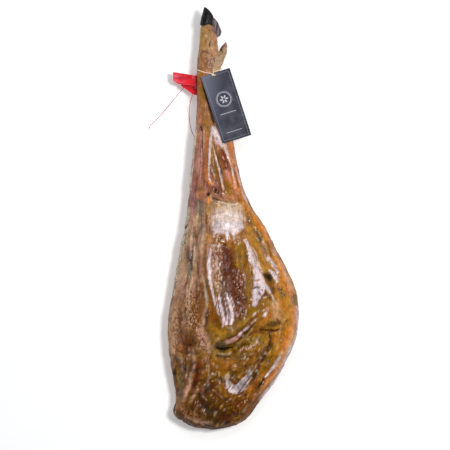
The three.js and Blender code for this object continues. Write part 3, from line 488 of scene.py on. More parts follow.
    ("fat_glossy", 0.97, 0.8, "smooth", [(46, -106, 4), (48, -118, 7), (48, -132, 7), (44, -148, 5),
     (42, -172, 2.6)]),
    ("fat_glossy", 0.95, 0.8, "smooth", [(57, -124, 3), (57, -136, 3)]),
    ("fat_glossy", 0.75, 0.6, "pale", [(56, -128, 7), (58, -146, 7)]),
    ("low_dark", 0.9, -1, "crisp", [(42, -138, 1), (48, -136, 1.5), (54, -139, 1.3), (58, -142, 1.2)]),
    ("amber_deep", 0.85, -0.6, "crisp", [(43, -120, 0.8), (48, -124, 1.2), (54, -121, 0.8)]),
    ("amber_olive", 0.9, 0, "smooth", [(53, -152, 3), (58, -160, 4)]),
    ("meat_pink", 0.7, 0.3, "smooth", [(40, -59, 1.2), (48, -84, 1.8), (58, -104, 2)]),
    ("pit", 0.9, -1, "crisp", [(38, -108, 1.8)]),
    # right upper side, with painted highlights and painted shade in its pits and creases
    ("amber_bright", 0.95, 0, "soft", [(29, -20, 4), (37, -38, 6), (41, -52, 5), (55, -70, 4), (64, -88, 6),
     (67, -100, 5)]),
    ("amber", 0.8, 0, "smooth", [(38, -38, 3), (43, -58, 2)]),
    ("cream", 0.85, 0.6, "crisp", [(38, -57, 0.9), (45, -70, 1.1), (50, -90, 1.1), (57, -106, 0.9)]),
    ("horn_grey", 0.7, 0, "smooth", [(27, 8, 1.6), (31, -3, 2.4), (37, -14, 2)]),
    ("mould_green", 0.5, 0, "dark", [(28, 10, 3), (36, -12, 4)]),
    ("fat_pale", 0.6, 0.4, "pale", [(28, 6, 2), (34, -8, 2), (44, -20, 2.4)]),
    ("streak_dark", 0.8, 0, "smooth", [(42, -22, 1.6), (49, -31, 2.6), (55, -43, 3)]),
    ("mould_green", 0.6, -0.3, "dark", [(43, -22, 3), (50, -32, 5), (55, -44, 4)]),
    ("fat_pale", 0.9, 0.4, "crisp", [(43.5, -18, 0.9), (45, -24, 0.9)], [(51, -27, 0.9), (53, -32, 0.8)],
     [(47, -38, 0.7), (50, -43, 0.8)]),
    ("tan_grey", 0.8, 0, "smooth", [(56, -52, 3), (60, -62, 3), (68, -76, 3)]),
    ("mould_green", 0.42, 0, "dark", [(58, -52, 5), (68, -72, 5)]),
    ("fat_pale", 0.85, 0.4, "crisp", [(58, -44, 0.6), (64, -52, 0.8), (67, -60, 0.7)]),
    ("cream", 0.75, 0.4, "crisp", [(62, -72, 0.6), (65, -78, 0.7), (68, -84, 0.7)]),
    ("low_dark", 0.9, -0.6, "smooth", [(76, -66, 1.2), (75, -74, 0.8)]),
    ("fat_glossy", 0.97, 0.5, "smooth", [(70, -78, 2), (77, -87, 3.2), (84, -97, 2.4), (89, -106, 1.8)]),
    ("low_dark", 0.7, -0.3, "crisp", [(80, -92, 0.5), (86, -99, 0.5)]),
    ("fat_glossy", 0.7, 0.5, "pale", [(84, -104, 4), (92, -112, 4)]),
    ("fat_glossy", 0.95, 0.5, "smooth", [(81, -112, 2.6), (87, -121, 4)]),
    ("mould_green", 0.4, 0, "dark", [(80, -102, 4), (90, -114, 5)]),
    ("mould_green", 0.9, -0.3, "soft", [(64, -112, 3), (70, -114, 6), (75, -121, 4)]),
    ("mould_black", 0.8, -0.4, "smooth", [(66, -113, 2), (71, -115, 4), (74, -121, 3)]),
    ("low_brown", 0.8, 0, "soft", [(76, -128, 4), (73, -134, 3)]),
    ("purple_brown", 0.9, -0.3, "smooth", [(79, -139, 3), (80, -148, 4)]),
    ("horn_grey", 0.6, 0, "smooth", [(88, -132, 2.4), (92, -142, 2.6)]),
    ("cream", 0.8, 0.4, "smooth", [(64, -134, 1.6), (68, -141, 2.4)]),
    ("low_dark", 0.97, -1.2, "smooth", [(56, -158, 1.2), (61, -152, 2.4), (68, -151, 2.4),
     (74, -158, 1.6)]),
    ("gold_pale", 0.9, 0.4, "crisp", [(61, -156.5, 0.9), (66, -156, 1)]),
    ("amber_olive", 0.85, 0, "smooth", [(60, -168, 4), (72, -168, 4)]),
    ("cream", 0.8, 0.4, "crisp", [(75, -150, 0.6), (80, -160, 0.9), (78, -172, 0.9)]),
    ("horn_grey", 0.75, 0, "smooth", [(100, -126, 1.4), (102, -136, 1.8)]),
    ("mould_grey", 0.8, 0, "smooth", [(96, -148, 2.4), (102, -152, 3)]),
    ("mould_green", 0.5, 0, "dark", [(94, -140, 5), (100, -156, 5)]),
    ("mould_blue", 0.7, 0, "crisp", [(99, -149, 1.2)]),
    ("amber_bright", 0.9, 0, "crisp", [(91, -135, 1.8)]),
    ("orange_pale", 0.8, 0, "soft", [(86, -168, 6), (87, -188, 6)]),
    ("tan", 0.5, 0, "soft", [(80, -170, 4), (84, -184, 4)]),
    ("fat_glossy", 0.97, 0.6, "crisp", [(41, -92, 3), (46, -104, 6), (49, -116, 9), (52, -128, 11),
     (51, -142, 10), (45, -156, 6), (43, -172, 3)]),
    ("fat_glossy", 0.95, 0.6, "crisp", [(60, -130, 3), (67, -137, 4), (72, -147, 2.6)], [(54, -146, 3),
     (53, -158, 2.4)]),
    ("low_dark", 0.95, -1.2, "crisp", [(40, -139, 1.4), (47, -136, 2.4), (54, -140, 2), (60, -144, 1.6)]),
    ("amber_olive", 0.9, -0.6, "crisp", [(38, -120, 1), (45, -124, 1.6), (52, -121, 1)]),
    ("brown_dark", 0.9, -0.8, "crisp", [(50, -148, 2), (57, -152, 2.6), (64, -147, 1.6)]),
    ("purple_brown", 0.85, -0.8, "crisp", [(45, -128, 0.8), (50, -131, 1.2), (57, -128, 0.9)]),
    ("amber_olive", 0.85, -0.5, "crisp", [(36, -100, 0.8), (41, -112, 1.2), (40, -122, 1)]),
    ("mould_black", 0.85, -0.4, "smooth", [(63, -112, 2.4), (69, -114, 4.4), (74, -121, 3.4)]),
    ("fat_glossy", 0.95, 0.5, "crisp", [(70, -103, 1.6), (78, -108, 2.6), (84, -117, 3.4), (88, -126, 2)]),
    # rind edge on the right, with painted highlights and painted shade in its crease
    ("orange", 0.92, 0, "smooth", [(18, 34, 1.4), (26, 27, 2.6), (35, 13, 3.6), (45, -1, 4.4), (54, -14, 5),
     (63, -27, 5), (68, -40, 4), (73, -52, 3)]),
    ("orange_pale", 0.7, 0.3, "crisp", [(24, 31, 0.7), (34, 20, 0.9), (44, 5, 1), (56, -12, 1.2),
     (66, -30, 1.4)]),
    ("orange_deep", 0.6, 0, "smooth", [(48, -8, 1.6), (60, -26, 1.6)]),
    ("brown_red", 0.7, 0, "smooth", [(68, -46, 2), (75, -58, 2)]),
    ("tan", 0.85, 0, "smooth", [(78, -60, 3), (83, -72, 3)]),
    ("orange", 0.95, 0, "smooth", [(83, -78, 3), (92, -92, 6), (101, -112, 8), (109, -132, 10),
     (114, -146, 9)]),
    ("orange_pale", 0.75, 0.3, "smooth", [(90, -84, 1.2), (102, -106, 2), (113, -130, 3),
     (119, -142, 2.4)]),
    ("orange_pale", 0.45, 0, "pale", [(100, -106, 5), (112, -138, 6)]),
    ("brown_red", 0.5, 0, "smooth", [(102, -126, 1.4), (110, -148, 1.4)]),
    ("meat_pink", 0.8, 0, "smooth", [(66, -26, 1), (82, -58, 1), (98, -92, 1.2), (110, -116, 1.4),
     (120, -140, 1.6)]),
    ("streak_dark", 0.7, 0, "crisp", [(31, 31, 1), (39, 23, 1.4), (47, 9, 0.9)]),
    ("mould_grey", 0.7, 0, "smooth", [(80, -46, 1.4), (88, -60, 1.6)]),
    ("mould_grey", 0.85, 0, "smooth", [(121, -154, 2.6), (124, -168, 2.4)]),
    ("shank_purple", 0.8, 0, "crisp", [(118, -162, 1.2), (118, -170, 1)]),
    ("amber_bright", 0.85, 0, "soft", [(104, -166, 6), (110, -178, 6), (108, -194, 6)]),
    ("orange_deep", 0.5, 0, "smooth", [(96, -166, 3), (104, -182, 3)]),
    ("orange", 0.85, 0, "smooth", [(119, -180, 5), (121, -200, 6), (118, -218, 6)]),
    # painted highlight along the right rim
    ("fat_glossy", 0.8, 0, "smooth", [(127, -176, 1.6), (128.6, -200, 2.4), (126, -226, 2),
     (121, -246, 2)]),
    ("orange_deep", 0.8, 0, "smooth", [(72, -190, 2), (76, -196, 2)]),
    ("orange_deep", 0.9, 0, "crisp", [(63, -200, 1.6)]),
    ("fat_glossy", 0.97, 0.8, "crisp", [(62, -193, 3.4), (65, -188, 2.4)]),
    ("meat_pink", 0.9, 0.8, "crisp", [(67, -183, 3), (69, -178, 2)]),
    ("fat_glossy", 0.95, 0.6, "crisp", [(40, -193, 2), (44, -188, 2)]),
    ("amber_olive", 0.8, 0, "smooth", [(36, -184, 4), (48, -180, 5), (56, -186, 4)]),
    ("amber", 0.8, 0, "smooth", [(54, -204, 6), (60, -212, 4)]),
    ("tan", 0.5, 0, "soft", [(84, -198, 6), (96, -200, 6)]),
    ("low_brown", 0.8, -0.3, "smooth", [(70, -212, 4), (82, -210, 5), (92, -206, 4)]),
    ("mould_green", 0.45, -0.3, "dark", [(74, -204, 6), (90, -206, 8), (104, -204, 6)]),
    ("amber_bright", 0.9, 0, "smooth", [(112, -208, 4), (116, -214, 4)]),
    ("orange", 0.95, 0, "smooth", [(117, -220, 7), (110, -242, 8), (103, -262, 6), (97, -280, 5)]),
    ("orange_deep", 0.6, 0, "smooth", [(108, -226, 2), (102, -246, 2.4), (96, -262, 2)]),
    ("orange_pale", 0.7, 0, "smooth", [(121, -222, 2), (114, -246, 2), (108, -264, 2)]),
    ("orange", 0.95, 0, "smooth", [(102, -264, 6), (97, -280, 6), (90, -294, 6), (80, -310, 5),
     (72, -322, 4)]),
    ("fat_glossy", 0.9, 0, "smooth", [(117, -252, 2.6), (110, -272, 3.4), (101, -292, 3.6), (92, -310, 3),
     (84, -322, 2)]),
    ("mould_green", 0.5, 0, "dark", [(96, -232, 5), (98, -248, 5)]),
    ("fat_glossy", 0.5, 0.4, "pale", [(93, -234, 3), (96, -252, 4)]),
    ("low_dark", 0.95, -2.4, "crisp", [(50, -221, 1.2), (60, -221, 1.8), (70, -223, 2), (84, -224, 2.4),
     (92, -220, 1.2)]),
    ("streak_dark", 0.8, -0.6, "crisp", [(54, -228, 0.8), (66, -229, 0.9), (76, -227, 0.6)]),
    ("purple_brown", 0.8, -0.4, "smooth", [(94, -221, 1.4), (102, -220, 1.4)]),
    # fold and haunch, with painted highlights and painted shade in the crevices and the long crease
    ("amber_olive", 0.95, 0, "soft", [(-42, -216, 7), (-24, -232, 7), (0, -224, 7), (20, -208, 6),
     (36, -186, 4)]),
    ("brown_dark", 0.6, 0, "soft", [(-42, -196, 6), (-32, -206, 6)]),
    ("amber", 0.6, 0, "smooth", [(-38, -228, 3), (-12, -228, 4), (8, -216, 3)]),
    ("orange_deep", 0.9, 0, "crisp", [(-33, -221, 1.8)]),
    ("meat_pink", 0.85, 0.4, "crisp", [(-45, -238, 1.4)]),
    ("tan_grey", 0.85, 0, "smooth", [(-34, -246, 3), (-36, -256, 3)]),
    ("low_brown", 0.95, 0.4, "smooth", [(-30, -251, 7), (-12, -247, 7.4), (4, -239, 7), (16, -229, 6.6),
     (30, -217, 5.6), (43, -203, 3.6)]),
    ("tan_grey", 0.8, 0.6, "smooth", [(-26, -250, 4), (-16, -248, 4)]),
    ("horn_grey", 0.6, 0, "crisp", [(-28, -253, 1.4), (-18, -253, 1.6)]),
    ("meat_pink", 0.92, 0.8, "smooth", [(-12, -246, 4), (-4, -243, 4.4), (5, -238, 4.4)], [(11, -232, 4),
     (17, -227, 4)], [(23, -222, 3.4), (30, -216, 3.4)], [(36, -210, 2.8), (44, -201, 2)]),
    ("streak_dark", 0.85, 0, "smooth", [(-27, -252, 4), (-18, -249, 3)]),
    ("meat_pink", 0.8, 0.3, "smooth", [(-9, -246, 1.6), (0, -243, 2.2), (6, -238, 1.6)]),
    ("fat_glossy", 0.95, 0.6, "crisp", [(12, -231, 1.8), (15, -228, 1.6)], [(20, -224, 1.5),
     (26, -219, 1.9)]),
    ("cream", 0.95, 0.6, "crisp", [(30.5, -215, 1.3)]),
    ("cream", 0.9, 0.5, "crisp", [(43, -204, 0.9), (46, -199, 0.8)]),
    ("low_dark", 0.9, -1, "crisp", [(5, -230, 0.9), (11, -240, 1)], [(17, -220, 0.9), (22, -229, 1)],
     [(30, -208, 0.8), (36, -216, 1)]),
    ("low_dark", 0.85, -1, "crisp", [(-12, -240, 0.6), (2, -233, 0.7), (14, -222, 0.6)]),
    ("pit", 0.9, -1.6, "crisp", [(0, -251, 0.8), (14, -240, 1.2), (22, -231, 1.2), (31, -221, 1.2),
     (42, -207, 0.9)]),
    ("gold_pale", 0.9, 0.6, "crisp", [(6, -252, 0.8), (18, -243, 1), (28, -233, 1), (38, -219, 0.8)]),
    ("pit", 0.97, -4.5, "crisp", [(-34, -260, 1.6), (-24, -263, 3), (-12, -261, 2.6), (-2, -258, 1.2)]),
    ("gold_pale", 0.9, 1.6, "smooth", [(-28, -269, 1.4), (-16, -271, 1.8), (-4, -267, 1.2)]),
    ("pit", 0.95, -3.5, "crisp", [(-34, -273, 1.2), (-20, -276, 2), (-8, -275, 1.6)]),
    ("brown_dark", 0.8, 0, "smooth", [(2, -262, 3), (0, -270, 4), (6, -276, 3)]),
    ("brown_dark", 0.85, 0, "smooth", [(34, -232, 3), (44, -226, 4), (58, -228, 3)]),
    ("amber_olive", 0.9, 0, "soft", [(22, -248, 6), (46, -240, 7), (62, -240, 7)]),
    ("gold_pale", 0.85, 0.5, "crisp", [(26, -242, 0.9), (32, -240, 0.7)], [(38, -240, 1.3), (42, -237, 1)]),
    ("pit", 0.85, -0.8, "crisp", [(26, -250, 1.2), (30, -248, 0.8)]),
    ("low_dark", 0.5, -0.6, "dark", [(10, -256, 6), (24, -250, 6)]),
    ("meat_pink", 0.75, 0.6, "pale", [(14, -262, 5), (30, -257, 5), (44, -250, 4), (54, -245, 3)]),
    ("fat_glossy", 0.9, 0.5, "crisp", [(31, -272, 0.8), (36, -270, 1.2), (41, -269, 0.8)], [(36, -255, 1),
     (41, -253, 1)]),
    ("fat_glossy", 0.85, 0.5, "crisp", [(50, -252, 1), (54, -249, 0.8)]),
    ("brown_dark", 0.45, 0, "dark", [(18, -262, 7), (40, -256, 6)]),
    ("amber_deep", 0.85, 0, "soft", [(-26, -292, 10), (0, -290, 12), (28, -284, 11), (46, -268, 7)]),
    ("amber", 0.6, 0, "soft", [(-18, -284, 6), (6, -288, 6), (38, -280, 5)]),
    ("amber_bright", 0.7, 0, "smooth", [(11, -279, 2)]),
    ("cream", 0.9, 0.5, "crisp", [(17, -280, 1.2)]),
    ("gold_pale", 0.9, 0.5, "crisp", [(19, -292, 0.8), (22, -288, 0.8), (25, -285, 0.6)]),
    ("gold_pale", 0.8, 0.5, "crisp", [(3, -299, 1)]),
    ("gold_pale", 0.7, 0.4, "crisp", [(-14, -277, 0.8), (-8, -280, 0.6)]),
    ("brown_deep", 0.85, -0.8, "smooth", [(-6, -282, 0.8), (-8, -296, 1.2), (-4, -310, 1)]),
    ("brown_deep", 0.7, -0.5, "smooth", [(24, -296, 1), (38, -290, 1.4), (50, -282, 1)]),
    ("amber_olive", 0.6, 0, "soft", [(-34, -312, 6), (-16, -316, 6), (14, -306, 6)]),
    ("low_dark", 0.95, -2.6, "crisp", [(74, -228, 1.8), (75, -246, 2.4), (70, -262, 2.2), (60, -278, 2),
     (50, -296, 1.7), (42, -314, 1.3), (34, -328, 0.9)]),
    ("brown_deep", 0.9, 0, "smooth", [(66, -256, 2), (58, -270, 2), (50, -284, 2)]),
    ("gold_pale", 0.95, 0.8, "crisp", [(63, -266, 0.9), (60, -272, 0.6)], [(57, -278, 0.9),
     (54, -284, 0.7)], [(48, -292, 0.9), (45, -298, 0.7)]),
    ("cream", 0.95, 0.8, "crisp", [(35, -306, 1), (28, -313, 0.9)]),
    ("amber_olive", 0.9, 0, "smooth", [(80, -252, 4), (76, -268, 4), (66, -288, 4), (58, -304, 4)]),
    ("orange_deep", 0.9, 0, "crisp", [(85, -245, 2)]),
    ("orange_deep", 0.7, 0, "smooth", [(83, -229, 1), (78, -246, 1)]),
    ("low_dark", 0.5, 0, "dark", [(82, -258, 4), (70, -284, 4), (60, -304, 5)]),
    ("meat_pink", 0.8, 0.4, "crisp", [(72, -241, 1.6)]),
    ("meat_pink", 0.85, 0.4, "crisp", [(69, -283, 0.8), (67, -292, 1.2)]),
    ("orange_pale", 0.9, 0.4, "smooth", [(96, -268, 3.4), (89, -283, 3.6), (80, -297, 3.4)]),
    ("fat_glossy", 0.95, 0.5, "crisp", [(92, -276, 1.4), (85, -287, 2.4), (77, -299, 2.4), (70, -308, 1.8),
     (64, -316, 1.4)]),
    ("amber", 0.9, 0, "smooth", [(56, -312, 3), (50, -318, 4)]),
    ("mould_black", 0.9, -0.5, "crisp", [(62, -318, 1), (59, -322, 1.4)]),
    ("fat_pale", 0.9, 0.4, "crisp", [(58, -327, 1.4)]),
    ("mould_black", 0.7, 0, "dark", [(56, -328, 4), (48, -338, 4)]),
    ("meat_pink", 0.9, 0.4, "crisp", [(56, -333, 1.2)]),
    ("orange", 0.9, 0, "smooth", [(70, -322, 4), (63, -334, 4), (54, -346, 3)]),
    ("meat_pink", 0.8, 0.4, "crisp", [(77, -330, 0.9), (71, -338, 0.9)]),
    ("brown_red", 0.9, -0.4, "crisp", [(79, -327, 1.1), (74, -336, 0.9)]),
    ("fat_glossy", 0.9, 0.3, "smooth", [(81, -326, 3), (73, -338, 3.4), (63, -350, 3), (54, -361, 2)]),
    ("orange", 0.7, 0, "soft", [(34, -339, 3)]),
    ("tan_grey", 0.8, 0.3, "smooth", [(44, -351, 2.4)]),
    ("gold_pale", 0.5, 0.3, "pale", [(28, -356, 4), (22, -366, 4)]),
    ("orange_deep", 0.6, 0, "smooth", [(40, -362, 1.8)]),
    ("brown_red", 0.8, 0, "smooth", [(42, -366, 2.4), (36, -370, 2)]),
    ("fat_glossy", 0.97, 0.8, "crisp", [(-13, -320, 2), (-9, -332, 6), (0, -340, 9), (11, -338, 8),
     (20, -330, 6)], [(8, -334, 4), (18, -325, 5), (29, -315, 3.4), (38, -304, 1.6)]),
    ("fat_glossy", 0.9, 0.8, "crisp", [(17, -340, 1.4), (26, -330, 1.8), (36, -318, 1.2)]),
    ("fat_glossy", 0.85, 0.5, "crisp", [(12, -346, 0.8), (22, -335, 0.8), (32, -325, 0.5)]),
    ("meat_pink", 0.9, 0.5, "crisp", [(-16, -340, 1), (-13, -333, 1.4)]),
    ("cream", 0.9, 0.5, "crisp", [(20, -345, 0.8), (26, -338, 1.1), (31, -332, 0.7)]),
    ("cream", 0.85, 0.5, "crisp", [(10, -355, 0.8), (15, -352, 0.8)]),
    ("brown_deep", 0.92, -0.8, "crisp", [(8, -348, 0.7), (16, -338, 1), (26, -327, 1), (34, -316, 0.7)],
     [(-5, -342, 0.8), (3, -332, 1.2), (12, -324, 0.8)]),
    ("brown_red", 0.92, -0.6, "crisp", [(-12, -342, 0.8), (-6, -332, 1.1), (-2, -324, 0.8)]),
    ("brown_deep", 0.92, -0.8, "crisp", [(15, -352, 0.7), (22, -342, 1), (32, -331, 0.7)]),
    ("tan_grey", 0.8, -0.3, "crisp", [(1, -336, 0.8), (3, -341, 1.2)]),
    ("amber_olive", 0.85, -0.4, "crisp", [(2, -327, 1.4), (6, -324, 1)]),
    ("amber", 0.8, 0, "smooth", [(-24, -336, 5), (-18, -348, 5), (-8, -354, 4)]),
    ("cream", 0.95, 0.6, "crisp", [(-27, -324, 1), (-27.5, -330, 1)]),
    ("gold_pale", 0.95, 0.5, "crisp", [(-14.5, -311, 1.1)]),
    ("gold_pale", 0.9, 0.5, "crisp", [(-16, -319, 0.8)]),
    ("meat_pink", 0.8, 0.4, "crisp", [(-41, -302, 1.2)]),
    ("tan", 0.6, 0.4, "crisp", [(-43, -342, 0.6), (-37, -344, 1), (-31, -351, 0.7), (-24, -355, 1.1),
     (-20, -362, 0.6)]),
    ("low_dark", 0.8, -0.8, "crisp", [(-41, -346, 0.6), (-32, -354, 0.7), (-24, -362, 0.5)]),
    ("brown_deep", 0.8, 0, "soft", [(-6, -368, 6), (8, -378, 7), (0, -392, 8)]),
    ("amber_olive", 0.5, 0, "dark", [(-6, -372, 8), (12, -388, 8), (-2, -402, 6)]),
    ("shank_purple", 0.95, 0.3, "crisp", [(-7.5, -361, 1.4)]),
    ("fat_glossy", 0.9, 0.3, "crisp", [(-6, -360, 0.8)]),
    ("meat_pink", 0.95, 0.3, "crisp", [(9.5, -374, 1.4)]),
    # left upper side, with a painted pale sheen along its edge and painted shade in its creases
    # painted pale sheen along the left edge
    ("cream", 0.85, 0.3, "smooth", [(-89, 20, 1.8), (-95, -18, 2.4), (-104, -60, 2.8), (-112, -104, 2.8),
     (-120, -150, 2.8)]),
    ("cream", 0.8, 0.6, "crisp", [(-88, 4, 0.9), (-95, -10, 1), (-100, -22, 0.9)]),
    ("pit", 0.85, -1, "crisp", [(-92, -11, 1), (-97, -19, 1.4), (-102, -25, 1)]),
    ("mould_grey", 0.6, 0, "dark", [(-94, -30, 5), (-98, -50, 5)]),
    ("gold_pale", 0.8, 0.5, "smooth", [(-86, -12, 1.4), (-85, -36, 1.8), (-88, -54, 1.6)]),
    ("streak_dark", 0.9, -0.8, "smooth", [(-78, -16, 1.4), (-80, -40, 1.2), (-82, -64, 1.4)]),
    ("purple_brown", 0.7, -0.4, "smooth", [(-66, -16, 1.4), (-72, -34, 1.4), (-76, -50, 1.2)]),
    ("low_brown", 0.8, 0, "smooth", [(-75, -24, 2), (-75, -60, 2)]),
    ("mould_blue", 0.8, 0, "smooth", [(-62, -10, 2), (-63, -30, 2.6)]),
    ("tan", 0.8, 0.6, "smooth", [(-64, -40, 3), (-65, -66, 3)]),
    ("meat_pink", 0.8, 0.4, "smooth", [(-64, -72, 1.6), (-66, -96, 1.6), (-64, -112, 1.4)]),
    ("brown", 0.6, 0, "soft", [(-69, -76, 4), (-70, -120, 5)]),
    ("gold_pale", 0.8, 0.6, "smooth", [(-76, -68, 1.4), (-76, -94, 1.8), (-74, -120, 1.6)]),
    ("orange", 0.8, 0.4, "crisp", [(-91, -61, 2.4)]),
    ("purple_brown", 0.9, -0.5, "smooth", [(-92, -68, 2), (-92, -86, 2.6)]),
    ("horn_grey", 0.75, -0.4, "smooth", [(-91, -56, 3), (-92, -80, 4), (-90, -104, 3)]),
    ("low_dark", 0.95, -1.2, "smooth", [(-83, -66, 2), (-85, -84, 3.6), (-83, -102, 2.6)]),
    ("mould_grey", 0.85, 0, "smooth", [(-88, -92, 2.6), (-87, -112, 3)]),
    ("low_dark", 0.45, 0, "dark", [(-86, -76, 4), (-86, -104, 5)]),
    ("gold_pale", 0.5, 0, "soft", [(-100, -66, 4), (-103, -90, 5), (-106, -112, 5)]),
    ("orange_pale", 0.6, 0, "soft", [(-100, -86, 3), (-102, -110, 4)]),
    ("streak_dark", 0.4, -0.4, "dark", [(-108, -76, 3), (-112, -110, 4)]),
    ("cream", 0.6, 0.4, "crisp", [(-110, -66, 0.9), (-114, -100, 1)]),
    ("gold_pale", 0.6, 0.4, "smooth", [(-107, -112, 1.4), (-112, -140, 1.6)]),
    ("mould_grey", 0.6, 0, "dark", [(-116, -120, 4), (-121, -150, 5)]),
    ("tan", 0.45, 0, "pale", [(-108, -124, 6), (-114, -150, 6)]),
    ("meat_pink", 0.85, 0.5, "smooth", [(-93, -134, 2.6), (-93, -148, 3)]),
    ("meat_pink", 0.4, 0.5, "pale", [(-90, -142, 7), (-88, -162, 8), (-84, -172, 7)]),
    ("brown_red", 0.5, -0.4, "dark", [(-86, -150, 8), (-84, -164, 8), (-72, -150, 7)]),
    ("brown", 0.9, 0, "soft", [(-64, -130, 5), (-64, -180, 8)]),
    ("cream", 0.7, 0.4, "crisp", [(-63, -112, 0.9), (-58, -130, 1), (-55, -160, 1)]),
    ("amber_deep", 0.9, 0, "smooth", [(-48, -146, 3), (-46, -160, 4), (-44, -180, 6), (-40, -200, 6)]),
    ("amber_bright", 0.5, 0, "soft", [(-52, -172, 3)]),
    ("gold_pale", 0.45, 0.4, "pale", [(-52, -158, 3), (-50, -190, 5)]),
    # left lower side, with painted glints and painted shade in its hollows
    ("meat_low", 0.9, 0, "soft", [(-82, -178, 12), (-82, -210, 12), (-90, -250, 10)]),
    ("tan", 0.4, 0.4, "pale", [(-86, -184, 12), (-80, -208, 12), (-66, -220, 8)]),
    ("brown_dark", 0.5, -0.4, "dark", [(-84, -180, 13), (-80, -206, 13)]),
    ("brown_dark", 0.7, 0, "soft", [(-92, -238, 8), (-94, -266, 7)]),
    ("brown_red", 0.7, 0, "soft", [(-92, -246, 4)]),
    ("tan", 0.9, 0, "soft", [(-118, -176, 7), (-121, -220, 7), (-121, -260, 6)]),
    ("orange_pale", 0.6, 0.4, "smooth", [(-124, -180, 3), (-127, -216, 3), (-126, -256, 3),
     (-124, -280, 2)]),
    ("orange_pale", 0.45, 0.4, "pale", [(-118, -180, 7), (-120, -216, 6), (-118, -256, 5)]),
    ("amber_olive", 0.5, 0, "dark", [(-120, -200, 5), (-118, -236, 6), (-112, -190, 5)]),
    ("brown", 0.5, -0.4, "dark", [(-110, -180, 6), (-108, -230, 7), (-112, -262, 6)]),
    ("tan", 0.85, 0, "soft", [(-64, -226, 8), (-56, -246, 8), (-50, -262, 6)]),
    ("meat_pink", 0.5, 0.4, "pale", [(-68, -222, 9), (-58, -250, 9), (-52, -270, 6)]),
    ("brown", 0.5, -0.4, "dark", [(-68, -230, 9), (-58, -256, 9)]),
    ("orange_deep", 0.7, 0, "crisp", [(-44, -276, 1), (-43, -300, 1.2)]),
    ("tan", 0.9, 0.4, "crisp", [(-50, -276, 1), (-49, -300, 1.4), (-50, -314, 0.8)]),
    ("meat_low", 0.8, 0, "soft", [(-60, -282, 7), (-56, -304, 6)]),
    ("brown_red", 0.95, -1.2, "smooth", [(-69, -280, 3), (-70, -298, 6), (-74, -318, 6), (-82, -338, 4)]),
    ("brown_deep", 0.8, -0.6, "smooth", [(-70, -288, 2.4), (-74, -312, 3), (-80, -332, 2)]),
    ("meat", 0.8, 0, "smooth", [(-66, -304, 3), (-64, -316, 3)]),
    ("meat_pink", 0.9, 0.4, "crisp", [(-56, -276, 1.2), (-55, -286, 1)]),
    ("meat_pink", 0.85, 0.4, "crisp", [(-63, -282, 0.9), (-60, -288, 0.9)]),
    ("tan", 0.95, 0.8, "smooth", [(-81, -264, 2), (-79, -292, 2.2), (-83, -308, 3), (-88, -328, 3),
     (-94, -348, 3.4), (-100, -362, 2.6)]),
    ("meat_pink", 0.85, 0.4, "smooth", [(-80, -270, 1.4), (-80, -292, 1.6), (-85, -312, 2),
     (-91, -334, 2.2), (-97, -354, 2.2)]),
    ("cream", 0.9, 0.5, "crisp", [(-86, -307, 1.2)], [(-87, -317, 1.2)]),
    ("tan", 0.9, 0.5, "crisp", [(-88, -270, 0.9), (-87, -280, 0.7)]),
    ("amber_olive", 0.8, -0.4, "smooth", [(-103, -272, 3), (-101, -284, 2)]),
    ("low_brown", 0.8, -0.4, "smooth", [(-92, -290, 3), (-97, -306, 4), (-104, -330, 3)]),
    ("tan", 0.75, 0.4, "crisp", [(-92, -290, 0.6), (-93, -304, 0.6)]),
    ("mould_grey", 0.9, 0, "smooth", [(-112, -266, 1.8), (-109, -284, 1.8)]),
    ("mould_blue", 0.9, -0.6, "smooth", [(-108, -282, 1.4), (-104, -292, 1.4), (-101, -298, 1.2)]),
    ("low_dark", 0.6, -0.8, "dark", [(-98, -284, 4), (-98, -300, 5)]),
    ("amber_olive", 0.9, 0, "smooth", [(-112, -300, 4), (-108, -318, 5), (-106, -330, 4)]),
    ("tan", 0.7, 0.3, "smooth", [(-123, -274, 2.4), (-121, -296, 2.4)]),
    ("mould_black", 0.95, -0.6, "smooth", [(-117, -303, 1.6), (-118, -310, 2)]),
    ("mould_black", 0.9, 0, "crisp", [(-121, -318, 0.8), (-118, -330, 1), (-117, -352, 0.8)]),
    ("amber_olive", 0.7, 0, "smooth", [(-108, -346, 3), (-112, -366, 2.4)]),
    ("tan", 0.85, 0.3, "smooth", [(-113, -356, 1.4), (-113, -376, 1.6)]),
    ("tan", 0.85, 0.6, "smooth", [(-71, -340, 2), (-78, -352, 2.4), (-86, -366, 2)]),
    ("low_dark", 0.9, -0.8, "soft", [(-58, -346, 5), (-60, -364, 8), (-54, -380, 8)]),
    ("low_brown", 0.7, 0, "soft", [(-44, -360, 6), (-38, -374, 6)]),
    ("mould_grey", 0.9, 0.3, "smooth", [(-52, -323, 1.8), (-53, -330, 1.6)]),
    ("mould_grey", 0.8, 0, "smooth", [(-54, -336, 2.4), (-50, -343, 2)]),
    ("gold_pale", 0.9, 0.5, "crisp", [(-55, -358, 1)]),
    ("gold_pale", 0.85, 0.5, "crisp", [(-52.5, -363, 0.8), (-63, -354, 0.7)], [(-67, -370, 0.8),
     (-65, -373, 0.6)]),
    ("meat", 0.75, 0, "soft", [(-108, -366, 6), (-104, -382, 7), (-88, -394, 8), (-68, -402, 6)]),
    ("low_dark", 0.45, -0.4, "dark", [(-98, -378, 8), (-84, -392, 8), (-66, -400, 6)]),
    ("tan", 0.75, 0, "smooth", [(-96, -396, 2.4), (-78, -404, 3), (-62, -408, 4), (-46, -408, 3)]),
    ("brown_deep", 0.8, 0, "soft", [(-20, -398, 7), (-4, -404, 5)]),
    ("orange_deep", 0.95, 0.5, "crisp", [(-120, -390, 1.6)]),
    ("orange_pale", 0.95, 0.5, "crisp", [(-121.5, -391, 0.8)]),
]

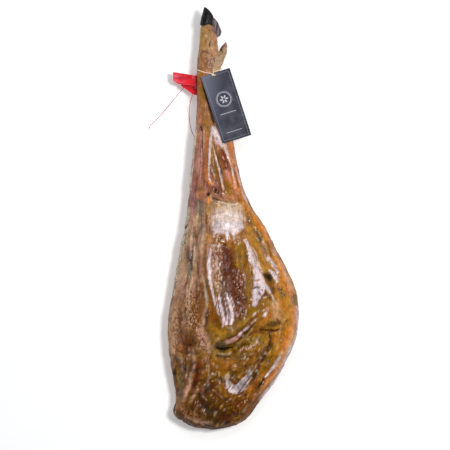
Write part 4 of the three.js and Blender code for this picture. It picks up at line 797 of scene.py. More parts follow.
# Streaks and blotches strewn over the leg by a seeded draw: finishes, how many, share, from and to
# along Y, from and to across the leg (-1 is its left edge, 1 its right), length and half width.
STREWN_SEED = 5
HORN_SEED = 80
STREWN = [
    (("cream", "tan", "purple_brown", "low_brown", "gold_pale", "mould_grey", "meat_pink", "meat_pink"),
     90, 0.8, (24, -190), (-1.0, -0.42), (24, 80), (0.9, 2.8)),
    (("meat_pink", "brown_red", "shank_orange", "shank_purple", "cream"),
     60, 0.6, (240, 30), (-1.0, -0.35), (14, 50), (0.5, 1.3)),
    (("meat_pink", "orange_pale", "brown_red", "cream"),
     30, 0.6, (160, 30), (0.2, 1.0), (14, 40), (0.5, 1.2)),
    (("gold_pale", "orange_deep", "orange_pale", "tan", "brown"),
     50, 0.45, (10, -260), (0.5, 1.0), (6, 22), (0.6, 2)),
    (("amber", "brown_deep", "amber_bright", "low_dark", "gold_pale", "brown_dark"),
     120, 0.55, (-262, -415), (-0.5, 0.9), (2, 12), (0.7, 2.8)),
    (("tan", "brown_deep", "low_dark", "meat_pink", "low_brown", "brown_red"),
     130, 0.6, (-170, -410), (-1.0, -0.3), (3, 24), (0.6, 2.2)),
    # painted glints, strewn over the lower part
    (("cream", "gold_pale", "meat_pink"),
     90, 0.9, (-225, -402), (-0.95, 0.7), (1, 6), (0.6, 1.4)),
    # painted glints round the haunch's highlight
    (("fat_glossy", "cream", "gold_pale", "fat_pale"),
     46, 0.95, (-298, -346), (-0.4, 0.5), (1.5, 6), (0.7, 1.7)),
    (("trotter_brown", "trotter_gold", "brown", "pad_tan", "meat_pink", "trotter_orange"),
     60, 0.5, (388, 200), (-1.0, 1.0), (2, 12), (0.5, 1.6)),
]
STREWN_OVER_SEED = 9
# The pale specks of the first two rows are painted glints of the grease.
STREWN_OVER = [
    (("fat_glossy", "meat_pink", "cream", "brown_deep"),
     90, 0.9, (-50, -136), (-0.36, -0.14), (1, 7), (0.4, 1.1)),
    (("meat_pink", "brown_deep", "fat_glossy", "brown_dark"),
     90, 0.8, (-98, -200), (0.0, 0.2), (1, 7), (0.4, 1.2)),
    (("brown_deep", "cream", "amber_olive"),
     60, 0.7, (-225, -330), (0.1, 0.65), (2, 9), (0.5, 1.4)),
    (("meat_pink", "brown_dark", "tan", "brown_red"),
     120, 0.7, (-120, -260), (-0.98, -0.5), (2, 10), (0.5, 1.5)),
]


def linear(colour):
    """An sRGB colour of 0 to 255 as linear numbers, by the standard curve."""
    c = np.asarray(colour, dtype=float) / 255
    return np.where(c <= 0.04045, c / 12.92, ((c + 0.055) / 1.055) ** 2.4)


def smoothstep(low, high, x):
    """3t^2 - 2t^3 of t, how far x is from low to high, kept from 0 to 1."""
    t = np.clip((x - low) / (high - low), 0, 1)
    return t * t * (3 - 2 * t)


def spline(values, t):
    """Rows of values at parameters t: the smooth cubic through them, one unit of t a row."""
    values = np.asarray(values, dtype=float)
    t = np.asarray(t, dtype=float)
    i = np.clip(np.floor(t).astype(int), 0, len(values) - 2)
    f = (t - i)[..., None]
    padded = np.vstack([2 * values[0] - values[1], values, 2 * values[-1] - values[-2]])
    a, b, c, d = (padded[i + k] for k in range(4))
    return 0.5 * (2 * b + (c - a) * f + (2 * a - 5 * b + 4 * c - d) * f**2 + (3 * b - a - 3 * c + d) * f**3)


def lattice(points, seed):
    """Value noise from -1 to 1: random numbers on a unit lattice, blended by smooth cubic weights."""
    base = np.floor(points).astype(np.int64)
    f = points - base
    w = f * f * (3 - 2 * f)
    total = np.zeros(len(points))
    primes = [np.uint32(prime) for prime in (374761393, 668265263, 3266489917)]
    for corner in range(8):
        offset = np.array([(corner >> k) & 1 for k in range(3)])
        ix, iy, iz = ((base[:, k] + offset[k]).astype(np.uint32) for k in range(3))
        h = ix * primes[0] + iy * primes[1] + iz * primes[2]
        h = h + np.uint32((seed * 2246822519) & 0xFFFFFFFF)
        h = (h ^ (h >> np.uint32(15))) * np.uint32(2246822519)
        h = (h ^ (h >> np.uint32(13))) * primes[2]
        h = h ^ (h >> np.uint32(16))
        weight = np.prod(np.where(offset == 1, w, 1 - w), axis=1)
        total += weight * (h.astype(float) / 2**31 - 1)
    return total


def grain(points, size, seed, octaves=3, stretch=(1, 1, 1)):
    """Noise of a size in mm: lattice noise summed over octaves, each half the size and height."""
    p = points / (size * np.asarray(stretch, dtype=float))
    return sum(lattice(p * 2**k, seed + 17 * k) / 2**k for k in range(octaves)) / (2 - 2.0 ** (1 - octaves))


def seen_at(points):
    """Plan places as the eye sees them: x and y carried along the line of sight to the rim's level."""
    scale = (EYE_HEIGHT - RIM_LEVEL) / (EYE_HEIGHT - points[..., 2])
    return np.stack([EYE[k] + (points[..., k] - EYE[k]) * scale for k in range(2)], axis=-1)


def beside(path, places):
    """Distance of places to a fine path, and the side: 1 left, -1 right, and between off the ends."""
    best = np.full(places.shape[:-1], np.inf)
    side = np.zeros(places.shape[:-1])
    for start, end in zip(path[:-1], path[1:]):
        along = end - start
        length = np.hypot(*along)
        off = places - start
        t = np.clip((off @ along) / length**2, 0, 1)
        off = off - t[..., None] * along
        d = np.hypot(off[..., 0], off[..., 1])
        turn = (along[0] * off[..., 1] - along[1] * off[..., 0]) / (length * np.maximum(d, 1e-6))
        side = np.where(d < best, turn, side)
        best = np.minimum(best, d)
    return best, side


def fine(path, steps=5):
    """The smooth line through a path, with a number of steps from each point to the next."""
    return spline(path, np.linspace(0, len(path) - 1, (len(path) - 1) * steps + 1))


def solid_relief(places):
    """Height of the solid's ridges and hollows: bell curves of the distance to their paths."""
    total = np.zeros(places.shape[:-1])
    for height, (left, right), path in RELIEF:
        distance, side = beside(fine(path), places)
        width = (left + right) / 2 + side * (left - right) / 2
        total += height * np.exp(-((distance / width) ** 2))
    return total


def pad_reach(y, z):
    """How far the heel pads stand out: smooth steps along Y times a bell curve over the height."""
    return sum(
        reach * smoothstep(end, full, y) * smoothstep(start, full, y)
        * np.exp(-(((z - height) / thick) ** 2))
        for start, full, end, reach, height, thick in PADS
    )


def leg_surface(t, angle, clearance=0.0):
    """Points of the leg, at section t and at an angle from its right end over the top.

    A section is half an ellipse above its widest line and a squarer half ellipse below it, and the
    pads and the relief are added.
    """
    row = spline(SECTIONS, t)
    left, right = row[..., 0:2], row[..., 2:4]
    low, high = row[..., 4] - clearance, row[..., 5] + clearance
    fleshy = smoothstep(*FLESHY, t)
    middle = low + (high - low) * (0.5 - 0.06 * fleshy)
    cos, sin = np.cos(angle), np.sin(angle)
    power = np.where(sin >= 0, 1, 2 / (2 + 0.2 * fleshy))
    across = np.sign(cos) * np.abs(cos) ** power
    rise = np.sign(sin) * np.abs(sin) ** power
    half = np.hypot(*np.moveaxis(right - left, -1, 0)) / 2
    stretch = np.where(half > 0, (half + clearance) / np.maximum(half, 1e-6), 1)
    x = (left[..., 0] + right[..., 0]) / 2 + (right[..., 0] - left[..., 0]) / 2 * across * stretch
    y = (left[..., 1] + right[..., 1]) / 2 + (right[..., 1] - left[..., 1]) / 2 * across
    z = middle + np.where(sin >= 0, high - middle, middle - low) * rise
    x = x + pad_reach(y, z) * smoothstep(0.1, 0.8, cos)
    places = seen_at(np.stack([x, y, z], axis=-1))
    z = z + solid_relief(places) * smoothstep(0.12, 0.5, sin)
    return np.stack([x, y, np.maximum(z, 0)], axis=-1)


def beside_leg(degrees, place, clearance):
    """The point at an angle round the leg and a place along Y, a clearance outside it."""
    t = np.linspace(0, LAST, 600)
    points = leg_surface(t, np.full(len(t), math.radians(degrees)), clearance)
    at = np.interp(-place, -points[:, 1], t)
    return leg_surface(np.array([at]), np.array([math.radians(degrees)]), clearance)[0]


def new_mesh(name, points, faces):
    """A mesh object from points in mm and a list of face arrays of three or four corners."""
    mesh = bpy.data.meshes.new(name)
    mesh.vertices.add(len(points))
    mesh.vertices.foreach_set("co", (np.asarray(points) * MM).astype(np.float32).ravel())
    corners = np.concatenate([f.ravel() for f in faces])
    sizes = np.concatenate([np.full(len(f), f.shape[1]) for f in faces])
    mesh.loops.add(len(corners))
    mesh.loops.foreach_set("vertex_index", corners.astype(np.int32))
    mesh.polygons.add(len(sizes))
    mesh.polygons.foreach_set("loop_start", np.concatenate([[0], np.cumsum(sizes)[:-1]]).astype(np.int32))
    mesh.polygons.foreach_set("use_smooth", np.ones(len(sizes), dtype=bool))
    mesh.update(calc_edges=True)
    obj = bpy.data.objects.new(name, mesh)
    bpy.context.scene.collection.objects.link(obj)
    return obj


def ring_faces(rings, size, closed=False):
    """Quads between rings of equal size, the last joined to the first where closed."""
    r = np.arange(rings if closed else rings - 1)[:, None]
    k = np.arange(size)[None, :]
    nxt = (r + 1) % rings
    quads = [r * size + k, nxt * size + k, nxt * size + (k + 1) % size, r * size + (k + 1) % size]
    return np.stack(np.broadcast_arrays(*quads), axis=-1).reshape(-1, 4)


def closed_rings(name, first, rings, last):
    """A closed mesh from a pole, rings of points and a last pole."""
    count, size = rings.shape[:2]
    points = np.vstack([rings.reshape(-1, 3), first, last])
    k = np.arange(size)
    start, end = count * size, count * size + 1
    tail = (count - 1) * size
    fans = [
        np.stack([np.full(size, start), k, (k + 1) % size], axis=1),
        np.stack([np.full(size, end), tail + (k + 1) % size, tail + k], axis=1),
    ]
    obj = new_mesh(name, points, [ring_faces(count, size), *fans])
    face_out(obj)
    return obj


def face_out(obj):
    """Turns a closed mesh's faces outwards if its volume, summed over its faces, is negative."""
    mesh = obj.data
    mesh.calc_loop_triangles()
    triangles = np.empty(len(mesh.loop_triangles) * 3, dtype=np.int32)
    mesh.loop_triangles.foreach_get("vertices", triangles)
    corners = read_points(obj)[triangles].reshape(-1, 3, 3)
    if np.einsum("ij,ij->i", corners[:, 0], np.cross(corners[:, 1], corners[:, 2])).sum() < 0:
        mesh.flip_normals()


def read_vectors(obj, kind):
    """The vertices' vectors of a kind, which is co for their places or normal."""
    values = np.empty(len(obj.data.vertices) * 3, dtype=np.float32)
    obj.data.vertices.foreach_get(kind, values)
    return values.reshape(-1, 3).astype(float)


def read_points(obj):
    return read_vectors(obj, "co") / MM


def write_points(obj, points):
    obj.data.vertices.foreach_set("co", (points * MM).astype(np.float32).ravel())
    obj.data.update()


def write_attribute(obj, name, values):
    """One number for each vertex, kept on the mesh for its material."""
    attribute = obj.data.attributes.new(name, "FLOAT", "POINT")
    attribute.data.foreach_set("value", values.astype(np.float32))


def join(obj, other, operation):
    """obj joined with another closed mesh, or cut by it, and the other removed."""
    modifier = obj.modifiers.new("join", "BOOLEAN")
    modifier.operation = operation
    modifier.solver = "MANIFOLD"
    modifier.object = other
    result = bpy.data.meshes.new_from_object(obj.evaluated_get(bpy.context.evaluated_depsgraph_get()))
    obj.modifiers.clear()
    obj.data = result
    bpy.data.objects.remove(other)


def loft_rings(rows, sides, steps):
    """Rings along Y through rows of left, right, low and high edges, each an ellipse between them."""
    count = (len(rows) - 1) * steps
    t = np.linspace(0, len(rows) - 1, count + 1)[:-1]
    y, left, right, low, high = (spline(rows, t)[:, k, None] for k in range(5))
    angle = np.linspace(0, 2 * np.pi, sides, endpoint=False)[None, :]
    x = (left + right) / 2 + (right - left) / 2 * np.cos(angle)
    z = (low + high) / 2 + (high - low) / 2 * np.sin(angle)
    return np.stack(np.broadcast_arrays(x, y, z), axis=-1)


def row_centre(row):
    """The pole of a row: the middle between its edges."""
    y, left, right, low, high = row
    return np.array([(left + right) / 2, y, (low + high) / 2])


def loft(name, rows, sides, steps):
    """A closed mesh of rings lofted through rows, with a pole at each end."""
    return closed_rings(name, row_centre(rows[0]), loft_rings(rows, sides, steps), row_centre(rows[-1]))


def patch_field(path, places):
    """How far places lie outside a path: the least distance to its line, less its half width there."""
    path = np.asarray(path, dtype=float)
    if len(path) == 1:
        return np.hypot(places[:, 0] - path[0, 0], places[:, 1] - path[0, 1]) - path[0, 2]
    path = fine(path, 3)
    best = np.full(len(places), np.inf)
    for start, end in zip(path[:-1], path[1:]):
        along = end[:2] - start[:2]
        off = places - start[:2]
        t = np.clip((off @ along) / (along @ along), 0, 1)
        gap = off - t[:, None] * along
        best = np.minimum(best, np.hypot(gap[:, 0], gap[:, 1]) - (start[2] + t * (end[2] - start[2])))
    return best


def strewn_patches(rows, seed):
    """Patches at drawn places.

    Each runs down the leg for its length, at the same share across it, and narrows at both ends. It
    stands out by how much brighter than the meat it is.
    """
    draw = np.random.default_rng(seed)
    taper = np.array([0.3, 1, 1, 0.3])
    for finishes, count, share, along, across, lengths, widths in rows:
        for number in range(count):
            spans = (along, across, lengths, widths)
            start, place, length, width = (draw.uniform(*sorted(span)) for span in spans)
            y = np.linspace(start, start - length, len(taper))
            left, right = (np.interp(-y, -SECTIONS[:, 1], SECTIONS[:, k]) for k in (0, 2))
            x = (left + right) / 2 + (right - left) / 2 * place
            name = finishes[number % len(finishes)]
            rise = 0.006 * (np.mean(FINISHES[name][0]) - 110)
            yield name, share, rise, "crisp", list(zip(x, y, width * taper))


def laid_patches():
    """Every patch in the order in which it is laid: strewn, listed one by one, then strewn over those."""
    yield from strewn_patches(STREWN, STREWN_SEED)
    for name, share, rise, hand, *paths in PATCHES:
        for path in paths:
            yield name, share, rise, hand, path
    yield from strewn_patches(STREWN_OVER, STREWN_OVER_SEED)


def ground_colours(points, rag):
    """The ground, and the share across the leg.

    The rows of GROUND are interpolated along Y. From the middle of the leg their colours go over to
    those of its left and right by smooth steps of the share across it.
    """
    section = spline(SECTIONS, np.interp(-points[:, 1], -SECTIONS[:, 1], np.arange(LAST + 1)))
    half = np.maximum((section[:, 2] - section[:, 0]) / 2, 1)
    across = (points[:, 0] - (section[:, 0] + section[:, 2]) / 2) / half + 0.18 * rag
    row_y = [-row[0] for row in GROUND]
    y = -(points[:, 1] + 14 * rag)
    tables = (np.array([finish(row[k]) for row in GROUND]) for k in (1, 2, 3))
    left, middle, right = (
        np.stack([np.interp(y, row_y, column) for column in table.T], axis=1) for table in tables
    )
    ground = middle + (left - middle) * smoothstep(0.15, 0.75, -across)[:, None]
    ground += (right - middle) * smoothstep(0.15, 0.75, across)[:, None]
    return ground, across


def ham_looks(points, normals):
    """Height, layers and upward share of every point.

    The layers are the ground, pale flecks and dark flecks, each a colour and a wetness or thickness.
    A patch is blended into its layer where its path's field, roughened by noise, is inside its edge.
    The underside is rind.
    """
    places = seen_at(points)
    upper = smoothstep(-0.3, 0.08, normals[:, 2])
    rag = grain(points, 11, 3, 3)
    small = grain(points, 4.2, 5, 2)
    ground, across = ground_colours(points, rag)
    layers = {"ground": ground, "pale": np.zeros_like(ground), "dark": np.zeros_like(ground)}
    layers["pale"][:, :3], layers["dark"][:, :3] = finish("tan")[:3], finish("low_brown")[:3]
    height = np.zeros(len(points))
    for name, share, rise, hand, path in laid_patches():
        edge, ragged, layer = HANDS[hand]
        reach = max(w for _, _, w in path) + edge + ragged + 3
        xs, ys = [p[0] for p in path], [p[1] for p in path]
        near = np.flatnonzero(
            (places[:, 0] > min(xs) - reach) & (places[:, 0] < max(xs) + reach)
            & (places[:, 1] > min(ys) - reach) & (places[:, 1] < max(ys) + reach) & (upper > 0)
        )
        field = patch_field(path, places[near])
        mask = 1 - smoothstep(-edge, edge, field + ragged * (0.7 * rag[near] + 0.5 * small[near]))
        mask = (mask * upper[near])[:, None]
        target = finish(name)
        if layer == "ground":
            layers[layer][near] += (target - layers[layer][near]) * share * mask
        else:
            flecks = layers[layer][near]
            thick = np.maximum(flecks[:, 3:], share * mask)
            flecks[:, :3] += (target[:3] - flecks[:, :3]) * np.minimum(1, 2 * share * mask)
            layers[layer][near] = np.hstack([flecks[:, :3], thick])
        if rise:
            bell = 1 - smoothstep(-2.5, 3.0, field)
            height[near] += rise * np.minimum(mask[:, 0] + 0.5 * bell, 1) * upper[near]

    # Painted shade in creases: on the lower part the ground is darkened along thin lines of noise, which are
    # also dented. Elsewhere the lines are darker fibres.
    low = smoothstep(-180, -240, points[:, 1])
    crease = np.clip(1 - np.abs(grain(points, 17, 95, 3)) / 0.16, 0, 1) * low
    fibre = np.clip(1 - np.abs(grain(points, 7, 97, 3, stretch=(1, 8, 2))) / 0.2, 0, 1) * (1 - low)
    line = (0.55 * crease * smoothstep(0.8, 0.4, across) + 0.16 * fibre) * upper
    mottle = 1 + 0.4 * grain(points, 13, 101, 3) * (0.4 + low)
    ground[:, :3] *= (mottle * (1 - line))[:, None]
    height -= 1.6 * line
    ground[:, 3] *= 0.35 + 0.65 * smoothstep(0.15, 0.65, normals[:, 2])

    brown = smoothstep(-0.3, 0.35, grain(points, 30, 41, 3))[:, None]
    below = finish("rind") + (finish("rind_brown") - finish("rind")) * brown
    fleshy = smoothstep(120, 0, points[:, 1]) * (1 - upper)
    ground += (below - ground) * (0.85 * fleshy + 0.3 * (1 - upper) * (1 - fleshy))[:, None]
    return height, layers, upper


def finish(name):
    """A finish as linear colour and wetness, its colour lowered by what shines off the grease."""
    colour, wetness = FINISHES[name]
    own = linear(colour)
    return np.array([*np.maximum(own - GLAZE, own * 0.15) / BRIGHTNESS, wetness])


def build_ham():
    """The leg: rings of its surface spaced evenly along it, joined with the dewclaw toes.

    Every point is then moved along its normal by the patches' heights and by crags of noise.
    """
    rings, around, top_share = 404, 226, 0.66
    t = np.linspace(0, LAST, 3000)
    row = spline(SECTIONS, t)
    travel = np.hypot(np.gradient(row[:, 1]), np.gradient(row[:, 2] - row[:, 0]) / 2)
    travel = np.hypot(travel, np.gradient(row[:, 5] - row[:, 4]) / 2)
    length = np.cumsum(travel) - travel[0]
    stations = np.interp(np.linspace(0, length[-1], rings + 2)[1:-1], length, t)
    top = round(around * top_share)
    angles = np.concatenate([
        np.linspace(0, np.pi, top, endpoint=False),
        np.linspace(np.pi, 2 * np.pi, around - top, endpoint=False),
    ])
    surface = leg_surface(stations[:, None] + 0 * angles, angles[None, :] + 0 * stations[:, None])
    poles = [np.array([SECTIONS[k, 0], SECTIONS[k, 1], SECTIONS[k, 4]]) for k in (0, LAST)]
    ham = closed_rings("ham_leg", poles[0], surface, poles[1])
    for number, rows in enumerate(TOES):
        join(ham, loft(f"toe_{number}", rows, 40, 8), "UNION")

    points, normals = read_points(ham), read_vectors(ham, "normal")
    height, layers, upper = ham_looks(points, normals)
    dry = 1 - layers["ground"][:, 3]
    thick = smoothstep(200, 40, points[:, 1])
    crags = grain(points, 14, 51, 3) * (0.5 + 0.9 * thick)
    crags += grain(points, 5, 57, 3) * (0.3 + 0.7 * dry * thick)
    crags += grain(points, 5, 61, 2, stretch=(1, 6, 2)) * (0.4 + 0.4 * dry)
    crags += 0.4 * layers["pale"][:, 3] * grain(points, 4, 67, 2)
    crags *= 0.35 + 0.65 * upper
    rests = points[:, 2] < 0.5
    moved = points + normals * np.where(rests, 0, height + crags)[:, None]
    moved[:, 2] = np.maximum(moved[:, 2], 0)
    write_points(ham, moved)
    for name, values in layers.items():
        paint = ham.data.attributes.new(name, "FLOAT_COLOR", "POINT")
        paint.data.foreach_set("color", np.clip(values, 0, 1).astype(np.float32).ravel())
    ham.data.polygons.foreach_set("use_smooth", np.ones(len(ham.data.polygons), dtype=bool))
    return ham


def build_horn(name, rows, seed):
    """A claw: a loft of ellipses with growth rings across it and fine splits along it."""
    horn = loft(f"{name}_horn", rows, 64, 12)
    points, normals = read_points(horn), read_vectors(horn, "normal")
    rings = 0.16 * np.sin(points[:, 1] * 1.9 + 1.2 * grain(points, 9, seed, 2))
    splits = 0.22 * grain(points, 1.6, seed + 3, 2, stretch=(1, 7, 1))
    chips = 0.35 * grain(points, 6, seed + 5, 2)
    root = smoothstep(14, 4, np.abs(points[:, 1] - rows[0][0]))
    ragged = root * (1.8 * np.sin(points[:, 0] * 0.32 + seed) + 1.6 * grain(points, 7, seed + 7, 2))
    moved = points + normals * (rings + splits + chips)[:, None]
    moved[:, 1] += ragged
    write_points(horn, moved)
    # Painted sheen: lighter where the claw faces sideways, broken up by noise.
    worn = smoothstep(0.5, 1.1, np.abs(normals[:, 0]) + 0.4 * grain(points, 7, seed + 9, 2))
    write_attribute(horn, "worn", worn)
    return horn


def sheet_mesh(name, middle, thickness):
    """A thin closed sheet from a grid of points, with a UV map over both faces.

    The grid is moved half a thickness along its normals to each side, and its rim is joined.
    """
    rows, columns = middle.shape[:2]
    along, across = np.gradient(middle, axis=0), np.gradient(middle, axis=1)
    normal = np.cross(across, along)
    normal /= np.linalg.norm(normal, axis=-1, keepdims=True)
    half = normal * thickness / 2
    points = np.vstack([(middle + half).reshape(-1, 3), (middle - half).reshape(-1, 3)])
    r, c = np.meshgrid(np.arange(rows - 1), np.arange(columns - 1), indexing="ij")
    at = (r * columns + c).ravel()
    upper = np.stack([at, at + 1, at + columns + 1, at + columns], axis=1)
    under = upper[:, ::-1] + rows * columns
    rim = np.concatenate([
        np.arange(columns - 1), np.arange(rows - 1) * columns + columns - 1,
        (rows - 1) * columns + np.arange(columns - 1, 0, -1), np.arange(rows - 1, 0, -1) * columns,
    ])
    after = np.roll(rim, -1)
    side = np.stack([after, rim, rim + rows * columns, after + rows * columns], axis=1)
    obj = new_mesh(name, points, [upper, under, side])
    uv = np.stack(np.meshgrid(np.linspace(0, 1, columns), np.linspace(0, 1, rows)), axis=-1).reshape(-1, 2)
    corners = np.concatenate([f.ravel() for f in (upper, under, side)]) % (rows * columns)
    obj.data.uv_layers.new(name="UVMap").data.foreach_set("uv", uv[corners].astype(np.float32).ravel())
    face_out(obj)
    return obj


def card_point(across, along):
    """A point of the card's middle surface.

    It is a plane turned in plan, rising to its lower end, rolled more there than at its upper end,
    and bowed down at both ends.
    """
    end = along / CARD_SIZE[1]
    roll = CARD_ROLL[1] + (CARD_ROLL[0] - CARD_ROLL[1]) * (end + 0.5)
    drop = CARD_CLIMB * along + roll * across + CARD_BOW * (2 * end) ** 2
    cos, sin = math.cos(CARD_TURN), math.sin(CARD_TURN)
    x = CARD_CENTRE[0] + across * cos - along * sin
    y = CARD_CENTRE[1] + across * sin + along * cos
    return np.stack(np.broadcast_arrays(x, y, CARD_CENTRE[2] - drop), axis=-1)


def build_card():
    """The card: a thin sheet of the card's middle surface, punched by a cylinder, with small bevels."""
    across = np.linspace(-0.5, 0.5, 31)[None, :] * CARD_SIZE[0]
    along = np.linspace(-0.5, 0.5, 71)[:, None] * CARD_SIZE[1]
    card = sheet_mesh("tag_card", card_point(across, along), CARD_SIZE[2])
    hole_at = card_point(np.array(CARD_HOLE[0]), np.array(CARD_HOLE[1]))
    angle = np.linspace(0, 2 * np.pi, 48, endpoint=False)
    depth = 6.0
    level = np.array([-depth, depth])[:, None]
    x, y = np.cos(angle) * CARD_HOLE[2], np.sin(angle) * CARD_HOLE[2]
    circle = np.stack(np.broadcast_arrays(x, y, level), axis=-1)
    punch = closed_rings("punch", hole_at + [0, 0, -depth], hole_at + circle, hole_at + [0, 0, depth])
    join(card, punch, "DIFFERENCE")
    bevel = card.modifiers.new("edge", "BEVEL")
    bevel.width = 0.12 * MM
    bevel.segments = 2
    bevel.limit_method = "ANGLE"
    bevel.angle_limit = math.radians(50)
    return card


def build_seal():
    """The folded band: straight lines between its two edge lines, with creases of noise."""
    last = len(SEAL_UPPER_EDGE) - 1
    t = np.linspace(0, last, 150)
    upper, lower = spline(SEAL_UPPER_EDGE, t)[:, None], spline(SEAL_LOWER_EDGE, t)[:, None]
    share = np.linspace(0, 1, 40)[None, :, None]
    middle = upper + (lower - upper) * share
    flat = middle.reshape(-1, 3)
    crumple = 0.7 * np.abs(grain(flat, 14, 71, 3, stretch=(1, 1, 3))) + 0.25 * grain(flat, 4, 73, 2)
    middle = middle + np.array([0, 0, 1]) * (crumple.reshape(middle.shape[:2])[..., None] - 0.2)
    return sheet_mesh("seal_band", middle, SEAL_THICKNESS)


def carried_frames(path, closed):
    """Two normals at each point of a path.

    The first is carried along it without turning, and the second is square to it. On a closed path
    the turn left over is spread round it.
    """
    if closed:
        tangent = np.roll(path, -1, axis=0) - np.roll(path, 1, axis=0)
    else:
        tangent = np.gradient(path, axis=0)
    tangent /= np.linalg.norm(tangent, axis=1, keepdims=True)
    normal = np.empty_like(path)
    start = np.cross(tangent[0], [0.31, 0.27, 0.91])
    normal[0] = start / np.linalg.norm(start)
    for i in range(1, len(path)):
        flat = normal[i - 1] - tangent[i] * (normal[i - 1] @ tangent[i])
        normal[i] = flat / np.linalg.norm(flat)
    side = np.cross(tangent, normal)
    if closed:
        flat = normal[-1] - tangent[0] * (normal[-1] @ tangent[0])
        left_over = math.atan2(flat @ side[0], flat @ normal[0])
        turn = -left_over * np.arange(len(path))[:, None] / len(path)
        cos, sin = np.cos(turn), np.sin(turn)
        normal, side = normal * cos + side * sin, side * cos - normal * sin
    return normal, side


def twisted_tube(name, path, radius, plies, pitch, closed=False, sides=20):
    """A cord of twisted plies: a round section with one lobe for each ply, turning once every pitch.

    Each vertex keeps the number of its ply.
    """
    steps = np.linalg.norm(np.diff(path, axis=0), axis=1)
    travel = np.concatenate([[0], np.cumsum(steps)])
    normal, side = carried_frames(path, closed)
    total = travel[-1] + (np.linalg.norm(path[0] - path[-1]) if closed else 0)
    turns = max(1, round(total / pitch))
    twist = 2 * np.pi * turns * travel / total
    angle = np.linspace(0, 2 * np.pi, sides, endpoint=False)[None, :]
    lobe = np.abs(np.cos((angle - twist[:, None]) * plies / 2))
    reach = radius * (0.74 + 0.26 * lobe)
    rings = path[:, None] + reach[..., None] * (
        np.cos(angle)[..., None] * normal[:, None] + np.sin(angle)[..., None] * side[:, None]
    )
    if closed:
        tube = new_mesh(name, rings.reshape(-1, 3), [ring_faces(len(path), sides, True)])
        face_out(tube)
    else:
        tube = closed_rings(name, path[0], rings, path[-1])
    ply = np.mod(np.floor((angle - twist[:, None]) * plies / (2 * np.pi) + 0.5), plies)
    shade = np.concatenate([ply.ravel(), np.zeros(len(tube.data.vertices) - ply.size)])
    write_attribute(tube, "ply", shade)
    return tube


def spread(points, step, closed=False):
    """Points at an even step along the smooth line through points."""
    points = np.asarray(points, dtype=float)
    if closed:
        points = np.vstack([points[-2:], points, points[:3]])
        t = np.linspace(2, len(points) - 3, 2000)
    else:
        t = np.linspace(0, len(points) - 1, 2000)
    line = spline(points, t)
    travel = np.concatenate([[0], np.cumsum(np.linalg.norm(np.diff(line, axis=0), axis=1))])
    count = max(8, round(travel[-1] / step))
    at = np.linspace(0, travel[-1], count + 1)
    if closed:
        at = at[:-1]
    return np.stack([np.interp(at, travel, line[:, k]) for k in range(3)], axis=1)


def by_hole(across, along, up):
    """A point beside the card's hole: the card's middle surface there, and a height above it."""
    return card_point(np.array(CARD_HOLE[0] + across), np.array(CARD_HOLE[1] + along)) + [0, 0, up]


def build_twine():
    """The twine's loop: through the card's hole and over its edge, then round the ankle."""
    hole = [by_hole(*step) for step in TWINE_THROUGH_HOLE]
    clearance = TWINE_RADIUS + LOOP_CLEARANCE
    ankle = [beside_leg(d, y, clearance) for d, y in zip(TWINE_DEGREES, TWINE_PLACES)]
    return twisted_tube("twine_loop", spread([*hole, *ankle], 0.35, True), TWINE_RADIUS, 3, 5.5, True)


def build_knot():
    """The twine's knot: a flattened trefoil, x and y of one and two turns and z of three."""
    centre = by_hole(*KNOT_AT)
    a = np.linspace(0, 2 * np.pi, 160, endpoint=False)
    x = (np.sin(a) + 1.7 * np.sin(2 * a)) * 0.75
    y = (np.cos(a) - 1.7 * np.cos(2 * a)) * 0.62
    line = np.stack([x, y, -np.sin(3 * a) * 0.7], axis=1)
    return twisted_tube("twine_knot", centre + line * KNOT_SIZE, TWINE_RADIUS, 3, 5.5, True, 14)


def build_string_loop():
    """The seal's string: over the ankle below the card, round the back, and through the fold."""
    clearance = STRING_RADIUS + LOOP_CLEARANCE
    ankle = [beside_leg(d, y, clearance) for d, y in zip(STRING_DEGREES, STRING_PLACES)]
    line = spread([*ankle, *STRING_IN_FOLD], 0.4, True)
    return twisted_tube("seal_string_loop", line, STRING_RADIUS, 2, 3, True, 12)


